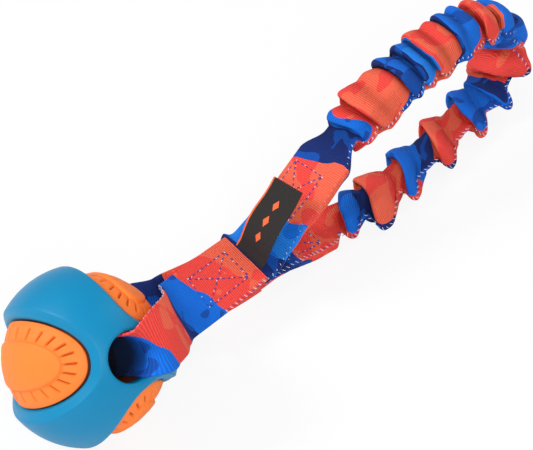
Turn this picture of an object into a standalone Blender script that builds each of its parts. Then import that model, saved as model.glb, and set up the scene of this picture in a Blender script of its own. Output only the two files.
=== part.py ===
"""Bungee tug toy: a rubber ball in a windowed shell, held by a webbing strap with a ruched bungee handle.

The ball spins on the strap that runs through its bore. The strap's two ends are sewn round the two ends of
a tubular sleeve, gathered over an elastic band, which forms the handle loop. Metres, +Z up, floor at Z = 0.
"""
import math

import bmesh
import bpy
from mathutils import Matrix, Vector

# Clearances
FIT_GAP = 0.0003            # between pieces that touch
CUT_OVERRUN = 0.002         # how far a cutter runs past what it cuts
WELD_DISTANCE = 0.00002     # corners closer than this after a cut are one corner
STRAIGHT_TURN = math.radians(1.0)  # a band that curls less than this across its width is drawn flat

# Ball
BALL_RADIUS = 0.035
SHELL_WALL = 0.006
CORE_RADIUS = BALL_RADIUS - SHELL_WALL  # the core's plain sphere, which the shell covers
RIM_RISE = 0.0021           # the notched rim of a panel, above the plain sphere
CROWN_RISE = 0.0029         # the smooth oval inside that rim, above the plain sphere
LIP_DEPTH = 0.0025          # of a window's dished lip, below the ball's outer face
EDGE_RADIUS = BALL_RADIUS - LIP_DEPTH  # where that lip ends
BORE_RADIUS = 0.0096
MOUTH_ROUND = 0.0012
BRIDGE_WIDTH = 0.0026       # rubber left between a mouth of the bore and the windows' lips
WINDOW_COUNT = 3
WINDOW_WIDTH_SHARE = 0.5538  # a window's half width, as a share of EDGE_RADIUS
WINDOW_SQUARENESS = 2.45    # power of the window's rounded outline, 2 being an ellipse
LIP_WIDTH_SHARE = 0.1
LIP_WIDTH = BALL_RADIUS * LIP_WIDTH_SHARE  # width of the dished lip round a window
RIDGE_STEP = 0.0004         # where the lip ends below the ball's outer face
BRIDGE_ANGLE = math.asin((BORE_RADIUS + MOUTH_ROUND) / BALL_RADIUS) + BRIDGE_WIDTH / BALL_RADIUS
LIP_OUTER_HALF_LENGTH = BALL_RADIUS * math.cos(BRIDGE_ANGLE)
WINDOW_HALF_LENGTH = LIP_OUTER_HALF_LENGTH - LIP_WIDTH
WINDOW_HALF_WIDTH = EDGE_RADIUS * WINDOW_WIDTH_SHARE
LIP_OUTER_HALF_WIDTH = WINDOW_HALF_WIDTH + LIP_WIDTH
PANEL_GAP = 0.0006          # dark line between a panel and its window
PANEL_EDGE_ROUND = 0.0005
RIM_WIDTH = 0.0070          # from the panel's edge in to the smooth oval
END_INSET_SHARE = 0.85      # insets measured across a ball's curve shrink at a window's two ends
SHOULDER = 0.0007           # slope between the rim and the smooth oval
NOTCH_COUNT = 24
NOTCH_LENGTH = 0.0046
NOTCH_WIDTH = 0.0009
NOTCH_DEPTH = 0.0008
BORE_TURN = math.radians(4.3)
BORE_TILT = math.radians(36.0)
BALL_ROLL = math.radians(26.0)
BALL_Y = 0.0005             # ball centre, from the middle of the whole toy
CORE_CROWN_RADIUS = CORE_RADIUS + CROWN_RISE  # the toy lies on a panel's crown

# Webbing strap
STRAP_WIDTH = 0.025
STRAP_THICKNESS = 0.0015
STRAP_SLACK = 0.0006        # between the folded strap and the bore
STAND_OFF = 0.0010          # how far the strap's folds stand off the ball, outside the mouths
BACK_ROLL = math.radians(25.0)  # the strap's width lies flatter under the ball, clear of the floor
BACK_SWING = math.radians(9.0)  # and leaves the lower mouth higher than it enters the upper one

# Sewn panel, where strap and sleeve ends lie on each other
LAYER_GAP = 0.0005          # between the sewn layers
PANEL_STAND_OFF = 0.015     # from the ball's outer face to the panel
PANEL_START = BALL_RADIUS + PANEL_STAND_OFF
PANEL_LENGTH = 0.036
PANEL_DROP = 0.0104         # from the ball's centre down to the panel's start
PANEL_FALL = 0.0025         # and further down to its end
PANEL_START_HEIGHT = CORE_CROWN_RADIUS - PANEL_DROP
PANEL_END_HEIGHT = PANEL_START_HEIGHT - PANEL_FALL
PANEL_START_SIDE = -0.003
PANEL_END_SIDE = -0.004
PANEL_START_ROLL = math.radians(40.0)
PANEL_END_ROLL = math.radians(19.0)

# Handle sleeve and its elastic
SLEEVE_WIDTH = 0.025
SLEEVE_THICKNESS = 0.0024   # two plies of tubular webbing, sewn flat
ELASTIC_WIDTH = 0.0175
ELASTIC_THICKNESS = 0.002
ELASTIC_ANCHOR = 0.030      # how far the elastic reaches into each flat end, to its box stitch
ANCHOR_THICKNESS = ELASTIC_THICKNESS + 2 * FIT_GAP + SLEEVE_THICKNESS
HANDLE_REACH = 0.1685       # from the panel's end to the middle of the loop's end
ARCH_HEIGHT = 0.059         # of the upper leg's middle line
HANDLE_SWAY = 0.012
END_FOLD_REACH = 0.0089     # of the loop end's fold past its middle line, and the ball's dished side
# The flat and gathered stretches of the upper, near leg and the lower, far leg, as shares of HANDLE_REACH
NEAR_FLAT_SHARE = 0.3323
FAR_FLAT_SHARE = 0.3264
NEAR_RUCHED_SHARE = 0.7003
FAR_RUCHED_SHARE = 0.6172
NEAR_FLAT = HANDLE_REACH * NEAR_FLAT_SHARE
FAR_FLAT = HANDLE_REACH * FAR_FLAT_SHARE
NEAR_RUCHED = HANDLE_REACH * NEAR_RUCHED_SHARE
FAR_RUCHED = HANDLE_REACH * FAR_RUCHED_SHARE
NEAR_FOLDS = 8
GRIP_FOLDS = 4
FAR_FOLDS = 6
FOLD_HALF_WIDTH = 0.0130
PINCH_HALF_WIDTH = 0.0102
FRILL = 0.0018              # how much further the folds stand out on the seamed edge
FOLD_HALF_THICKNESS = 0.0080
PINCH_HALF_THICKNESS = 0.0042
FLAT_DEPTH = 0.0005         # the lower leg's folds are cut this deep where they lie on the floor
LOWER_LEG_HEIGHT = FOLD_HALF_THICKNESS - FLAT_DEPTH
RUFFLE = 0.0028             # up and down swing of the sleeve's seamed edge
FOLD_STATIONS = 8
RING_POINTS = 14

# Woven label
LABEL_WIDTH = 0.015
LABEL_LENGTH = 0.036
LABEL_THICKNESS = 0.0006
LABEL_SETBACK = 0.0012      # from the strap's end to the label's stitched edge
LABEL_RISE = math.radians(47.0)
LABEL_CURVE = math.radians(-14.0)

# The strap's fold at a mouth of the bore, from outside in: distance from the bore's middle line as a share
# of BORE_RADIUS, how far the strap has curled, and how far its width has still to turn
MOUTH_FOLD_SHARES = [(1.95, 0.0, 1.0), (1.5, 0.35, 1.0), (1.16, 0.7, 0.75)]
BORE_ENTRY_SHARE = 0.78     # of BALL_RADIUS, where the strap is fully curled

# The handle's middle line: distance past the panel as a share of HANDLE_REACH, side as a share of
# HANDLE_SWAY and height as a share of ARCH_HEIGHT. The lower leg's height is its own size.
NEAR_ROUTE_SHARES = [
    (0.088, -0.42, 0.440), (0.192, -0.46, 0.585), (0.264, -0.50, 0.712), (0.341, -0.52, 0.830),
    (0.411, -0.56, 0.915), (0.488, -0.58, 0.966), (0.563, -0.60, 1.000), (0.640, -0.61, 1.010),
    (0.740, -0.60, 0.995), (0.840, -0.56, 0.940), (0.922, -0.50, 0.830), (0.975, -0.43, 0.670),
    (1.000, -0.39, 0.450),
]
END_ROUTE_SHARES = [(0.982, -0.42, 0.245), (0.938, -0.50, 0.147)]
FAR_ROUTE_SHARES = [
    (0.870, -0.62), (0.780, -0.76), (0.611, -0.92), (0.505, -1.00), (0.417, -0.96), (0.317, -0.70),
]
FAR_DESCENT_SHARES = [(0.229, -0.50, 0.135), (0.153, -0.42, 0.175), (0.088, -0.38, 0.232)]

SHELL_RUBBER = ((0.010, 0.270, 0.560), 0.38)
CORE_RUBBER = ((1.000, 0.270, 0.045), 0.55)
STRAP_WEBBING = ((0.900, 0.075, 0.045), 0.80)
SLEEVE_WEBBING = ((0.010, 0.110, 0.640), 0.80)
ELASTIC_WEAVE = ((0.780, 0.760, 0.700), 0.85)
LABEL_WEAVE = ((0.030, 0.028, 0.027), 0.85)

TOY_LENGTH = BALL_RADIUS + PANEL_START + PANEL_LENGTH + HANDLE_REACH + END_FOLD_REACH
BALL_X = BALL_RADIUS - TOY_LENGTH / 2
BALL_CENTRE = Vector((BALL_X, BALL_Y, CORE_CROWN_RADIUS))
BORE_AXIS = Vector((
    -math.sin(BORE_TURN) * math.cos(BORE_TILT),
    -math.cos(BORE_TURN) * math.cos(BORE_TILT),
    math.sin(BORE_TILT),
))


def clear_scene():
    for obj in list(bpy.data.objects):
        bpy.data.objects.remove(obj, do_unlink=True)


def finish(obj, name, look, sharp_angle=math.radians(35.0)):
    """Names an object, gives it its own material and shades its round surfaces smooth."""
    colour, roughness = look
    obj.name = name
    obj.data.name = name
    material = bpy.data.materials.new(name)
    material.use_nodes = True
    shader = material.node_tree.nodes["Principled BSDF"]
    shader.inputs["Base Color"].default_value = (*colour, 1.0)
    shader.inputs["Roughness"].default_value = roughness
    shader.inputs["Metallic"].default_value = 0.0
    obj.data.materials.clear()
    obj.data.materials.append(material)
    obj.data.shade_smooth()
    obj.data.set_sharp_from_angle(angle=sharp_angle)
    return obj


def loft(name, rings, start_tip=None, end_tip=None):
    """A closed solid through rings of points, its ends closed flat or drawn to a tip."""
    mesh = bmesh.new()
    rows = [[mesh.verts.new(point) for point in ring] for ring in rings]
    count = len(rows[0])
    for near, far in zip(rows, rows[1:]):
        for i in range(count):
            j = (i + 1) % count
            mesh.faces.new((near[i], near[j], far[j], far[i]))
    for row, tip in ((rows[0], start_tip), (rows[-1], end_tip)):
        if tip is None:
            mesh.faces.new(row)
            continue
        centre = mesh.verts.new(tip)
        for i in range(count):
            mesh.faces.new((row[i], row[(i + 1) % count], centre))
    bmesh.ops.triangulate(mesh, faces=mesh.faces)
    bmesh.ops.recalc_face_normals(mesh, faces=mesh.faces)
    data = bpy.data.meshes.new(name)
    mesh.to_mesh(data)
    mesh.free()
    obj = bpy.data.objects.new(name, data)
    bpy.context.collection.objects.link(obj)
    return obj


def joined(name, objects):
    """One cutter mesh made of several that don't touch."""
    mesh = bmesh.new()
    for obj in objects:
        obj.data.transform(obj.matrix_world)
        mesh.from_mesh(obj.data)
        bpy.data.objects.remove(obj, do_unlink=True)
    data = bpy.data.meshes.new(name)
    mesh.to_mesh(data)
    mesh.free()
    obj = bpy.data.objects.new(name, data)
    bpy.context.collection.objects.link(obj)
    return obj


def combine(obj, other, operation):
    """Applies a Boolean with another solid and removes that solid."""
    modifier = obj.modifiers.new(operation, "BOOLEAN")
    modifier.operation = operation
    modifier.solver = "EXACT"
    modifier.object = other
    bpy.context.view_layer.update()
    graph = bpy.context.evaluated_depsgraph_get()
    result = bpy.data.meshes.new_from_object(obj.evaluated_get(graph))
    mesh = bmesh.new()
    mesh.from_mesh(result)
    bmesh.ops.remove_doubles(mesh, verts=mesh.verts, dist=WELD_DISTANCE)
    bmesh.ops.triangulate(mesh, faces=mesh.faces)
    mesh.to_mesh(result)
    mesh.free()
    obj.modifiers.clear()
    obj.data = result
    bpy.data.objects.remove(other, do_unlink=True)
    return obj


def ball_sphere(name, radius, segments, rings):
    bpy.ops.mesh.primitive_uv_sphere_add(segments=segments, ring_count=rings, radius=radius)
    obj = bpy.context.object
    obj.name = name
    return obj


def window_ring(radius, half_length, half_width, size_radius, count=32):
    """A window-shaped ring on a sphere about local +X, from sizes measured on a sphere of size_radius."""
    points = []
    for i in range(count):
        turn = 2 * math.pi * i / count
        along, across = math.cos(turn), math.sin(turn)
        z = half_length * math.copysign(abs(along) ** (2 / WINDOW_SQUARENESS), along)
        y = half_width * math.copysign(abs(across) ** (2 / WINDOW_SQUARENESS), across)
        x = math.sqrt(size_radius ** 2 - y ** 2 - z ** 2)
        points.append(Vector((x, y, z)).normalized() * radius)
    return points


def panel_ring(radius, inset, count=32):
    """A ring on a core panel, the given distance in from the window's edge."""
    half_length = WINDOW_HALF_LENGTH - inset * END_INSET_SHARE
    return window_ring(radius, half_length, WINDOW_HALF_WIDTH - inset, EDGE_RADIUS, count)


def window_cutter():
    """The opening in the shell, wider at its dished lip."""
    lip = (LIP_OUTER_HALF_LENGTH, LIP_OUTER_HALF_WIDTH, BALL_RADIUS)
    rings = [
        panel_ring(CORE_RADIUS - CUT_OVERRUN, 0),
        panel_ring(EDGE_RADIUS, 0),
        window_ring(BALL_RADIUS - RIDGE_STEP, *lip),
        window_ring(BALL_RADIUS + CUT_OVERRUN, *lip),
    ]
    far_tip = Vector((BALL_RADIUS + 2 * WINDOW_HALF_LENGTH, 0, 0))
    return loft("window_cutter", rings, Vector((CORE_RADIUS / 2, 0, 0)), far_tip)


def core_panel():
    """The raised part of the core that fills a window: a flat rim round a smooth oval crown."""
    rim, crown = CORE_RADIUS + RIM_RISE, CORE_RADIUS + CROWN_RISE
    edge, oval = PANEL_GAP, PANEL_GAP + RIM_WIDTH
    half_width_left = WINDOW_HALF_WIDTH - oval - SHOULDER
    rings = [
        panel_ring(CORE_RADIUS - CUT_OVERRUN, edge),
        panel_ring(rim - PANEL_EDGE_ROUND, edge),
        panel_ring(rim, edge + PANEL_EDGE_ROUND),
        panel_ring(rim, (edge + oval) / 2),
        panel_ring(rim, oval),
        panel_ring(crown - SHOULDER / 4, oval + SHOULDER),
        panel_ring(crown, oval + 2 * SHOULDER),
        panel_ring(crown, oval + SHOULDER + half_width_left * 0.6),
    ]
    return loft("core_panel", rings, Vector((CORE_RADIUS / 2, 0, 0)), Vector((crown, 0, 0)))


def panel_notches():
    """Short grooves across a panel's rim, starting at the smooth oval."""
    rim = CORE_RADIUS + RIM_RISE
    inner = panel_ring(rim, PANEL_GAP + RIM_WIDTH - FIT_GAP, NOTCH_COUNT)
    outer = panel_ring(rim, PANEL_GAP + PANEL_EDGE_ROUND, NOTCH_COUNT)
    notches = []
    for start, edge in zip(inner, outer):
        up = start.normalized()
        run = (edge - start).normalized()
        end_up = (start + run * NOTCH_LENGTH).normalized()
        side = up.cross(run).normalized() * NOTCH_WIDTH / 2
        rings = []
        for point, rise in ((start, up), (end_up * rim, end_up)):
            top = point + rise * CUT_OVERRUN / 2
            rings.append([top + side * 2, top - side * 2, point - rise * NOTCH_DEPTH - side / 2,
                          point - rise * NOTCH_DEPTH + side / 2])
        notches.append(loft("notch", rings))
    return notches


def bore_cutter():
    """A turned cutter for the bore, flared to round both mouths."""
    centre = BORE_RADIUS + MOUTH_ROUND
    height = math.sqrt((BALL_RADIUS - MOUTH_ROUND) ** 2 - centre ** 2)
    flare = math.atan2(height, centre)
    profile = []
    steps = 4
    for i in range(steps + 1):
        angle = math.pi - (math.pi - flare) * i / steps
        profile.append((centre + MOUTH_ROUND * math.cos(angle), height + MOUTH_ROUND * math.sin(angle)))
    reach = (BALL_RADIUS + CUT_OVERRUN) / math.sin(flare)
    profile.append((reach * math.cos(flare), reach * math.sin(flare)))
    outline = [(r, -z) for r, z in reversed(profile)] + profile
    rings = []
    segments = 24
    for radius, z in outline:
        rings.append([Vector((radius * math.cos(2 * math.pi * i / segments),
                              radius * math.sin(2 * math.pi * i / segments), z)) for i in range(segments)])
    return loft("bore_cutter", rings)


def around_bore(make):
    """One of a piece for each window, turned about the bore."""
    pieces = []
    for k in range(WINDOW_COUNT):
        for obj in make():
            obj.data.transform(Matrix.Rotation(2 * math.pi * k / WINDOW_COUNT, 4, "Z"))
            pieces.append(obj)
    return pieces


def ball_rotation():
    """Local +Z along the bore and the first window's middle, local +X, at the photographed roll."""
    side = Vector((-1, 0, 0))
    side = (side - side.dot(BORE_AXIS) * BORE_AXIS).normalized()
    up = BORE_AXIS.cross(side)
    if up.z < 0:
        up.negate()
    window = math.cos(BALL_ROLL) * side + math.sin(BALL_ROLL) * up
    across = BORE_AXIS.cross(window)
    return Matrix((window, across, BORE_AXIS)).transposed().to_euler()


def make_ball():
    """The blue shell and the orange core, both turning on the strap about the bore."""
    shell = ball_sphere("shell", BALL_RADIUS, 36, 20)
    hollow = ball_sphere("hollow", CORE_RADIUS + FIT_GAP, 24, 14)
    combine(shell, hollow, "DIFFERENCE")
    combine(shell, joined("windows", around_bore(lambda: [window_cutter()])), "DIFFERENCE")
    combine(shell, bore_cutter(), "DIFFERENCE")
    core = ball_sphere("core", CORE_RADIUS, 24, 14)
    combine(core, joined("panels", around_bore(lambda: [core_panel()])), "UNION")
    combine(core, joined("notches", around_bore(panel_notches)), "DIFFERENCE")
    combine(core, bore_cutter(), "DIFFERENCE")
    for obj in (shell, core):
        obj.location = BALL_CENTRE
        obj.rotation_euler = ball_rotation()
    finish(shell, "ball_shell", SHELL_RUBBER)
    finish(core, "ball_core", CORE_RUBBER)


class Route:
    """A smooth line through stations of (point, width direction, curl), read by the distance along it."""

    def __init__(self, stations, spans=10):
        self.samples = []
        last = len(stations) - 1
        for k in range(last):
            rows = [stations[max(k - 1, 0)], stations[k], stations[k + 1], stations[min(k + 2, last)]]
            for i in range(spans):
                self.samples.append(self.between(rows, i / spans))
        self.samples.append(stations[-1])
        self.along = [0.0]
        for near, far in zip(self.samples, self.samples[1:]):
            self.along.append(self.along[-1] + (far[0] - near[0]).length)
        self.length = self.along[-1]

    @staticmethod
    def between(rows, t):
        a, b, c, d = (row[0] for row in rows)
        before, span, after = (b - a).length, (c - b).length, (d - c).length
        slope = (c - b) / span
        leave = slope if before == 0 else ((b - a) / before * span + slope * before) / (before + span)
        arrive = slope if after == 0 else (slope * after + (d - c) / after * span) / (span + after)
        point = (b * (2 * t ** 3 - 3 * t ** 2 + 1) + c * (3 * t ** 2 - 2 * t ** 3)
                 + span * leave * (t ** 3 - 2 * t ** 2 + t) + span * arrive * (t ** 3 - t ** 2))
        width = rows[1][1].lerp(rows[2][1], t)
        curl = rows[1][2] + (rows[2][2] - rows[1][2]) * t
        return point, width, curl

    def point(self, distance):
        distance = min(max(distance, 0.0), self.length)
        k = max(i for i, at in enumerate(self.along[:-1]) if at <= distance)
        share = (distance - self.along[k]) / (self.along[k + 1] - self.along[k])
        near, far = self.samples[k], self.samples[k + 1]
        return near[0].lerp(far[0], share), near[1].lerp(far[1], share), near[2] + (far[2] - near[2]) * share

    def frame(self, distance):
        """The point, tangent, width direction, upward direction and curl there."""
        point, width, curl = self.point(distance)
        reach = self.length / 500
        tangent = (self.point(distance + reach)[0] - self.point(distance - reach)[0]).normalized()
        width = (width - width.dot(tangent) * tangent).normalized()
        return point, tangent, width, tangent.cross(width), curl

    def distance_at(self, test):
        """How far along the route the first sample lies that passes a test."""
        return next(at for at, row in zip(self.along, self.samples) if test(row[0]))


def strip_section(frame, width, thickness, columns, edge_share=0.5):
    """A flat or curled band's outline across its route, its edges thinned to the given share."""
    point, _, across, up, curl = frame
    top, bottom = [], []
    for i in range(columns + 1):
        a = width * (i / columns - 0.5)
        if abs(curl) * width < STRAIGHT_TURN:
            middle, normal = point + across * a, up
        else:
            turn = curl * a
            middle = point + across * (math.sin(turn) / curl) + up * ((1 - math.cos(turn)) / curl)
            normal = up * math.cos(turn) - across * math.sin(turn)
        rise = normal * thickness / 2 * (edge_share if i in (0, columns) else 1.0)
        top.append(middle + rise)
        bottom.append(middle - rise)
    return top + bottom[::-1]


def spaced(start, end, step):
    count = max(1, round((end - start) / step))
    return [start + (end - start) * i / count for i in range(count + 1)]


def panel_frame(share):
    """Middle, width direction and upward direction of the sewn panel, at a share of its length."""
    middle = Vector((
        BALL_X + PANEL_START + PANEL_LENGTH * share,
        BALL_Y + PANEL_START_SIDE + (PANEL_END_SIDE - PANEL_START_SIDE) * share,
        PANEL_START_HEIGHT + (PANEL_END_HEIGHT - PANEL_START_HEIGHT) * share,
    ))
    roll = PANEL_START_ROLL + (PANEL_END_ROLL - PANEL_START_ROLL) * share
    width = Vector((0, math.cos(roll), math.sin(roll)))
    return middle, width, Vector((0, -math.sin(roll), math.cos(roll)))


def panel_layer(share, offset):
    middle, width, up = panel_frame(share)
    return middle + up * offset, width, 0.0


SLEEVE_LAYER = (SLEEVE_THICKNESS + LAYER_GAP) / 2
STRAP_LAYER = SLEEVE_LAYER + SLEEVE_THICKNESS / 2 + LAYER_GAP + STRAP_THICKNESS / 2


def strap_stations():
    """From the panel's end, over the ball's front, through the bore and back under the panel."""
    start = panel_frame(0)[0] - BALL_CENTRE
    pull = (start - start.dot(BORE_AXIS) * BORE_AXIS).normalized()
    across = BORE_AXIS.cross(pull)
    inside = BORE_RADIUS - STRAP_SLACK - STRAP_THICKNESS / 2
    full = 1 / inside
    low = Vector((0, math.cos(BACK_ROLL), math.sin(BACK_ROLL)))
    outer = BALL_RADIUS + STAND_OFF

    def fold(side, swing, outer_width):
        """From outside a mouth to inside it, curling to fit the bore."""
        sideways = pull * math.cos(swing) + across * math.sin(swing)
        width = across * math.cos(swing) - pull * math.sin(swing)
        heights = (outer - STRAP_THICKNESS, outer, outer)
        rows = [(height, BORE_RADIUS * reach_share, curl, turn)
                for height, (reach_share, curl, turn) in zip(heights, MOUTH_FOLD_SHARES)]
        rows.append((BALL_RADIUS - MOUTH_ROUND, inside + FIT_GAP / 2, 0.95, 0.15))
        rows.append((BALL_RADIUS * BORE_ENTRY_SHARE, inside, 1.0, 0.0))
        return [(BALL_CENTRE + BORE_AXIS * side * height + sideways * reach, width.lerp(outer_width, turn),
                 -full * curl) for height, reach, curl, turn in rows]

    shares = (-0.1, 0.0, 0.25, 0.5, 0.75, 1.0)
    top = [panel_layer(share, STRAP_LAYER) for share in reversed(shares)]
    front = fold(1, 0.0, across)
    middle = [(BALL_CENTRE + pull * inside, across, -full)]
    back = fold(-1, BACK_SWING, low)[::-1]
    under = [panel_layer(share, -STRAP_LAYER) for share in shares]
    lead_in = [(front[0][0].lerp(top[-1][0], 0.7), across.lerp(top[-1][1], 0.5), 0.0)]
    lead_out = [(back[-1][0].lerp(under[0][0], 0.7), low.lerp(under[0][1], 0.5), 0.0)]
    return top + lead_in + front + middle + back + lead_out + under


def make_strap():
    route = Route(strap_stations())
    rings = [strip_section(route.frame(at), STRAP_WIDTH, STRAP_THICKNESS, 6)
             for at in spaced(0, route.length, STRAP_WIDTH / 7)]
    return finish(loft("ball_strap", rings), "ball_strap", STRAP_WEBBING)


def handle_route():
    """The sleeve's middle line, from the panel round the handle loop and back to the panel."""
    across = Vector((0, 1, 0))
    def place(row, height=None):
        return Vector((
            BALL_X + PANEL_START + PANEL_LENGTH + HANDLE_REACH * row[0],
            BALL_Y + HANDLE_SWAY * row[1],
            ARCH_HEIGHT * row[2] if height is None else height,
        ))
    shares = (0.0, 0.25, 0.5, 0.75, 1.0, 1.1)
    near = [panel_layer(share, SLEEVE_LAYER) for share in shares]
    near += [(place(row), across, 0.0) for row in NEAR_ROUTE_SHARES + END_ROUTE_SHARES]
    far = [(place(row, LOWER_LEG_HEIGHT), across, 0.0) for row in FAR_ROUTE_SHARES]
    far += [(place(row), across, 0.0) for row in FAR_DESCENT_SHARES]
    far += [panel_layer(share, -SLEEVE_LAYER) for share in reversed(shares)]
    # going back, the same width direction keeps the ruffled edge on one side
    return Route(near + far)


def flat_sleeve(route, start, end, panel_at, anchor_at):
    """A flat end of the sleeve, thicker where it holds the elastic's end."""
    rings = []
    for at in spaced(start, end, SLEEVE_WIDTH / 6):
        swell = min(max(abs(at - panel_at) / abs(anchor_at - panel_at), 0.0), 1.0)
        beyond = (at - panel_at) * (anchor_at - panel_at) > 0
        thickness = SLEEVE_THICKNESS + (ANCHOR_THICKNESS - SLEEVE_THICKNESS) * (swell if beyond else 0.0)
        rings.append(strip_section(route.frame(at), SLEEVE_WIDTH, thickness, 4))
    return loft("flat_sleeve", rings)


def ruched_sleeve(route, start, end, folds):
    """A gathered stretch of the sleeve: full folds between tight pinches, its seamed edge ruffled."""
    rings = []
    for k in range(folds * FOLD_STATIONS + 1):
        share = k / (folds * FOLD_STATIONS)
        point, tangent, across, up, _ = route.frame(start + (end - start) * share)
        wave = 0.5 - 0.5 * math.cos(2 * math.pi * folds * share)
        fullness = wave ** 0.7
        half_width = PINCH_HALF_WIDTH + (FOLD_HALF_WIDTH - PINCH_HALF_WIDTH) * fullness
        half_thickness = PINCH_HALF_THICKNESS + (FOLD_HALF_THICKNESS - PINCH_HALF_THICKNESS) * fullness
        swing = RUFFLE * math.sin(2 * math.pi * folds * share)
        ring = []
        for i in range(RING_POINTS):
            turn = 2 * math.pi * i / RING_POINTS
            out, lift = math.cos(turn), math.sin(turn)
            edge_share = max(0.0, -out - 0.5) * 2
            reach = half_width * out - FRILL * fullness * edge_share
            ring.append(point + across * reach + up * (half_thickness * lift + swing * edge_share))
        rings.append(ring)
    return loft("ruched_sleeve", rings)


def elastic_strip(name, route, start, end, allowance, edge_share=0.5):
    """The elastic band, or with an allowance the channel that it lies in."""
    width, thickness = ELASTIC_WIDTH + 2 * allowance, ELASTIC_THICKNESS + 2 * allowance
    rings = [strip_section(route.frame(at), width, thickness, 2, edge_share)
             for at in spaced(start, end, FOLD_HALF_THICKNESS)]
    return loft(name, rings)


def make_handle():
    """The sleeve in five stretches of one tube, and the elastic inside it."""
    route = handle_route()
    panel_end = BALL_X + PANEL_START + PANEL_LENGTH
    near_panel = route.distance_at(lambda p: p.x >= panel_end)
    far_panel = max(at for at, row in zip(route.along, route.samples) if row[0].x >= panel_end)
    near_fold = near_panel + NEAR_FLAT
    grip_start = near_fold + NEAR_RUCHED
    far_fold = far_panel - FAR_FLAT
    grip_end = far_fold - FAR_RUCHED
    anchor_start = near_fold - ELASTIC_ANCHOR
    anchor_end = far_fold + ELASTIC_ANCHOR
    half_gap = FIT_GAP / 2
    pieces = {
        "sleeve_near_end": flat_sleeve(route, FIT_GAP, near_fold - half_gap, near_panel, anchor_start),
        "sleeve_near_leg": ruched_sleeve(route, near_fold + half_gap, grip_start - half_gap, NEAR_FOLDS),
        "sleeve_grip": ruched_sleeve(route, grip_start + half_gap, grip_end - half_gap, GRIP_FOLDS),
        "sleeve_far_leg": ruched_sleeve(route, grip_end + half_gap, far_fold - half_gap, FAR_FOLDS),
        "sleeve_far_end": flat_sleeve(route, far_fold + half_gap, route.length - FIT_GAP, far_panel,
                                      anchor_end),
    }
    for name, piece in pieces.items():
        channel = elastic_strip("channel", route, anchor_start - FIT_GAP, anchor_end + FIT_GAP, FIT_GAP, 1.0)
        combine(piece, channel, "DIFFERENCE")
        if name == "sleeve_far_leg":
            combine(piece, floor_cutter(), "DIFFERENCE")
        finish(piece, name, SLEEVE_WEBBING)
    elastic = elastic_strip("elastic", route, anchor_start, anchor_end, 0)
    finish(elastic, "bungee_elastic", ELASTIC_WEAVE)
    return route, near_panel


def floor_cutter():
    """Everything under the floor, which leaves the lowest folds flat."""
    depth = 2 * FOLD_HALF_THICKNESS
    bpy.ops.mesh.primitive_cube_add(size=1, location=(0, 0, -depth / 2))
    floor = bpy.context.object
    reach = 2 * (PANEL_START + PANEL_LENGTH + HANDLE_REACH + BALL_RADIUS)
    floor.data.transform(Matrix.Diagonal((reach, reach, depth, 1.0)))
    return floor


def make_label(route, near_panel):
    """The woven label, a flap whose sewn end lies at the panel's edge on the upper leg."""
    point, tangent, across, up, _ = route.frame(near_panel)
    seat = SLEEVE_THICKNESS / 2 + LAYER_GAP + LABEL_THICKNESS / 2
    hinge = point + up * seat + tangent * LABEL_SETBACK
    stations = [(hinge, across, 0.0)]
    steps = 6
    for i in range(steps):
        rise = LABEL_RISE + LABEL_CURVE * (0.5 - (i + 0.5) / steps)
        straighten = i / (steps - 1)
        lift = up.lerp(Vector((0, 0, 1)), straighten).normalized()
        step = (Vector((1, 0, 0)) * math.cos(rise) + lift * math.sin(rise)) * LABEL_LENGTH / steps
        stations.append((stations[-1][0] + step, across.lerp(Vector((0, 1, 0)), straighten), 0.0))
    flap = Route(stations)
    rings = [strip_section(flap.frame(at), LABEL_WIDTH, LABEL_THICKNESS, 2)
             for at in spaced(0, flap.length, LABEL_LENGTH / 9)]
    obj = loft("woven_label", rings)
    obj.data.transform(Matrix.Translation(-hinge))
    obj.location = hinge
    finish(obj, "woven_label", LABEL_WEAVE)
    return hinge, across


clear_scene()
make_ball()
make_strap()
handle, panel_edge = make_handle()
make_label(handle, panel_edge)
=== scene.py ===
"""The look of the bungee tug toy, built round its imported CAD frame: moulded ball, printed webbing strap,
gathered sleeve over its elastic, woven label and sewing thread. Metres, +Z up, floor at Z = 0."""
import math

import bpy
import numpy as np
from mathutils import Matrix, Vector


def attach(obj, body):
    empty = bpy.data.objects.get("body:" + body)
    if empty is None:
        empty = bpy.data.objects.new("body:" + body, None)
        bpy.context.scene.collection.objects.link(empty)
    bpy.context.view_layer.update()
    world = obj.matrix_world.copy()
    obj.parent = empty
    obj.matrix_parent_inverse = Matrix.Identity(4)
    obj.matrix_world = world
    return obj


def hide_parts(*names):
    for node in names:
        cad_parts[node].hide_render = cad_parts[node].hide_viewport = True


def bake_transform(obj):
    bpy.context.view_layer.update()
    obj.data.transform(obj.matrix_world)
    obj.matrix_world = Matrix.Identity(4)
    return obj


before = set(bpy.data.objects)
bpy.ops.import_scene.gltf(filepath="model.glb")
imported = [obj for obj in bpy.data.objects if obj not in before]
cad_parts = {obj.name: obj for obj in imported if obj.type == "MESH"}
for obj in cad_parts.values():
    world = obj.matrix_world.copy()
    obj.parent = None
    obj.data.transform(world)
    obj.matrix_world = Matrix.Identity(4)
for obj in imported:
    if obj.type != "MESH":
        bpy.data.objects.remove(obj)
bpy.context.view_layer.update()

# The photograph's frame in pixels, where the ball's centre falls in it, and the camera
FRAME_WIDTH, FRAME_HEIGHT = 533, 450
BALL_ACROSS, BALL_DOWN, PIXELS_PER_MM = 85.6, 355.6, 2.643
FOCAL_PIXELS, SENSOR_WIDTH = 2472.0, 36.0
CAMERA_TURN, CAMERA_TILT = math.radians(-49.0), math.radians(44.0)

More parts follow.
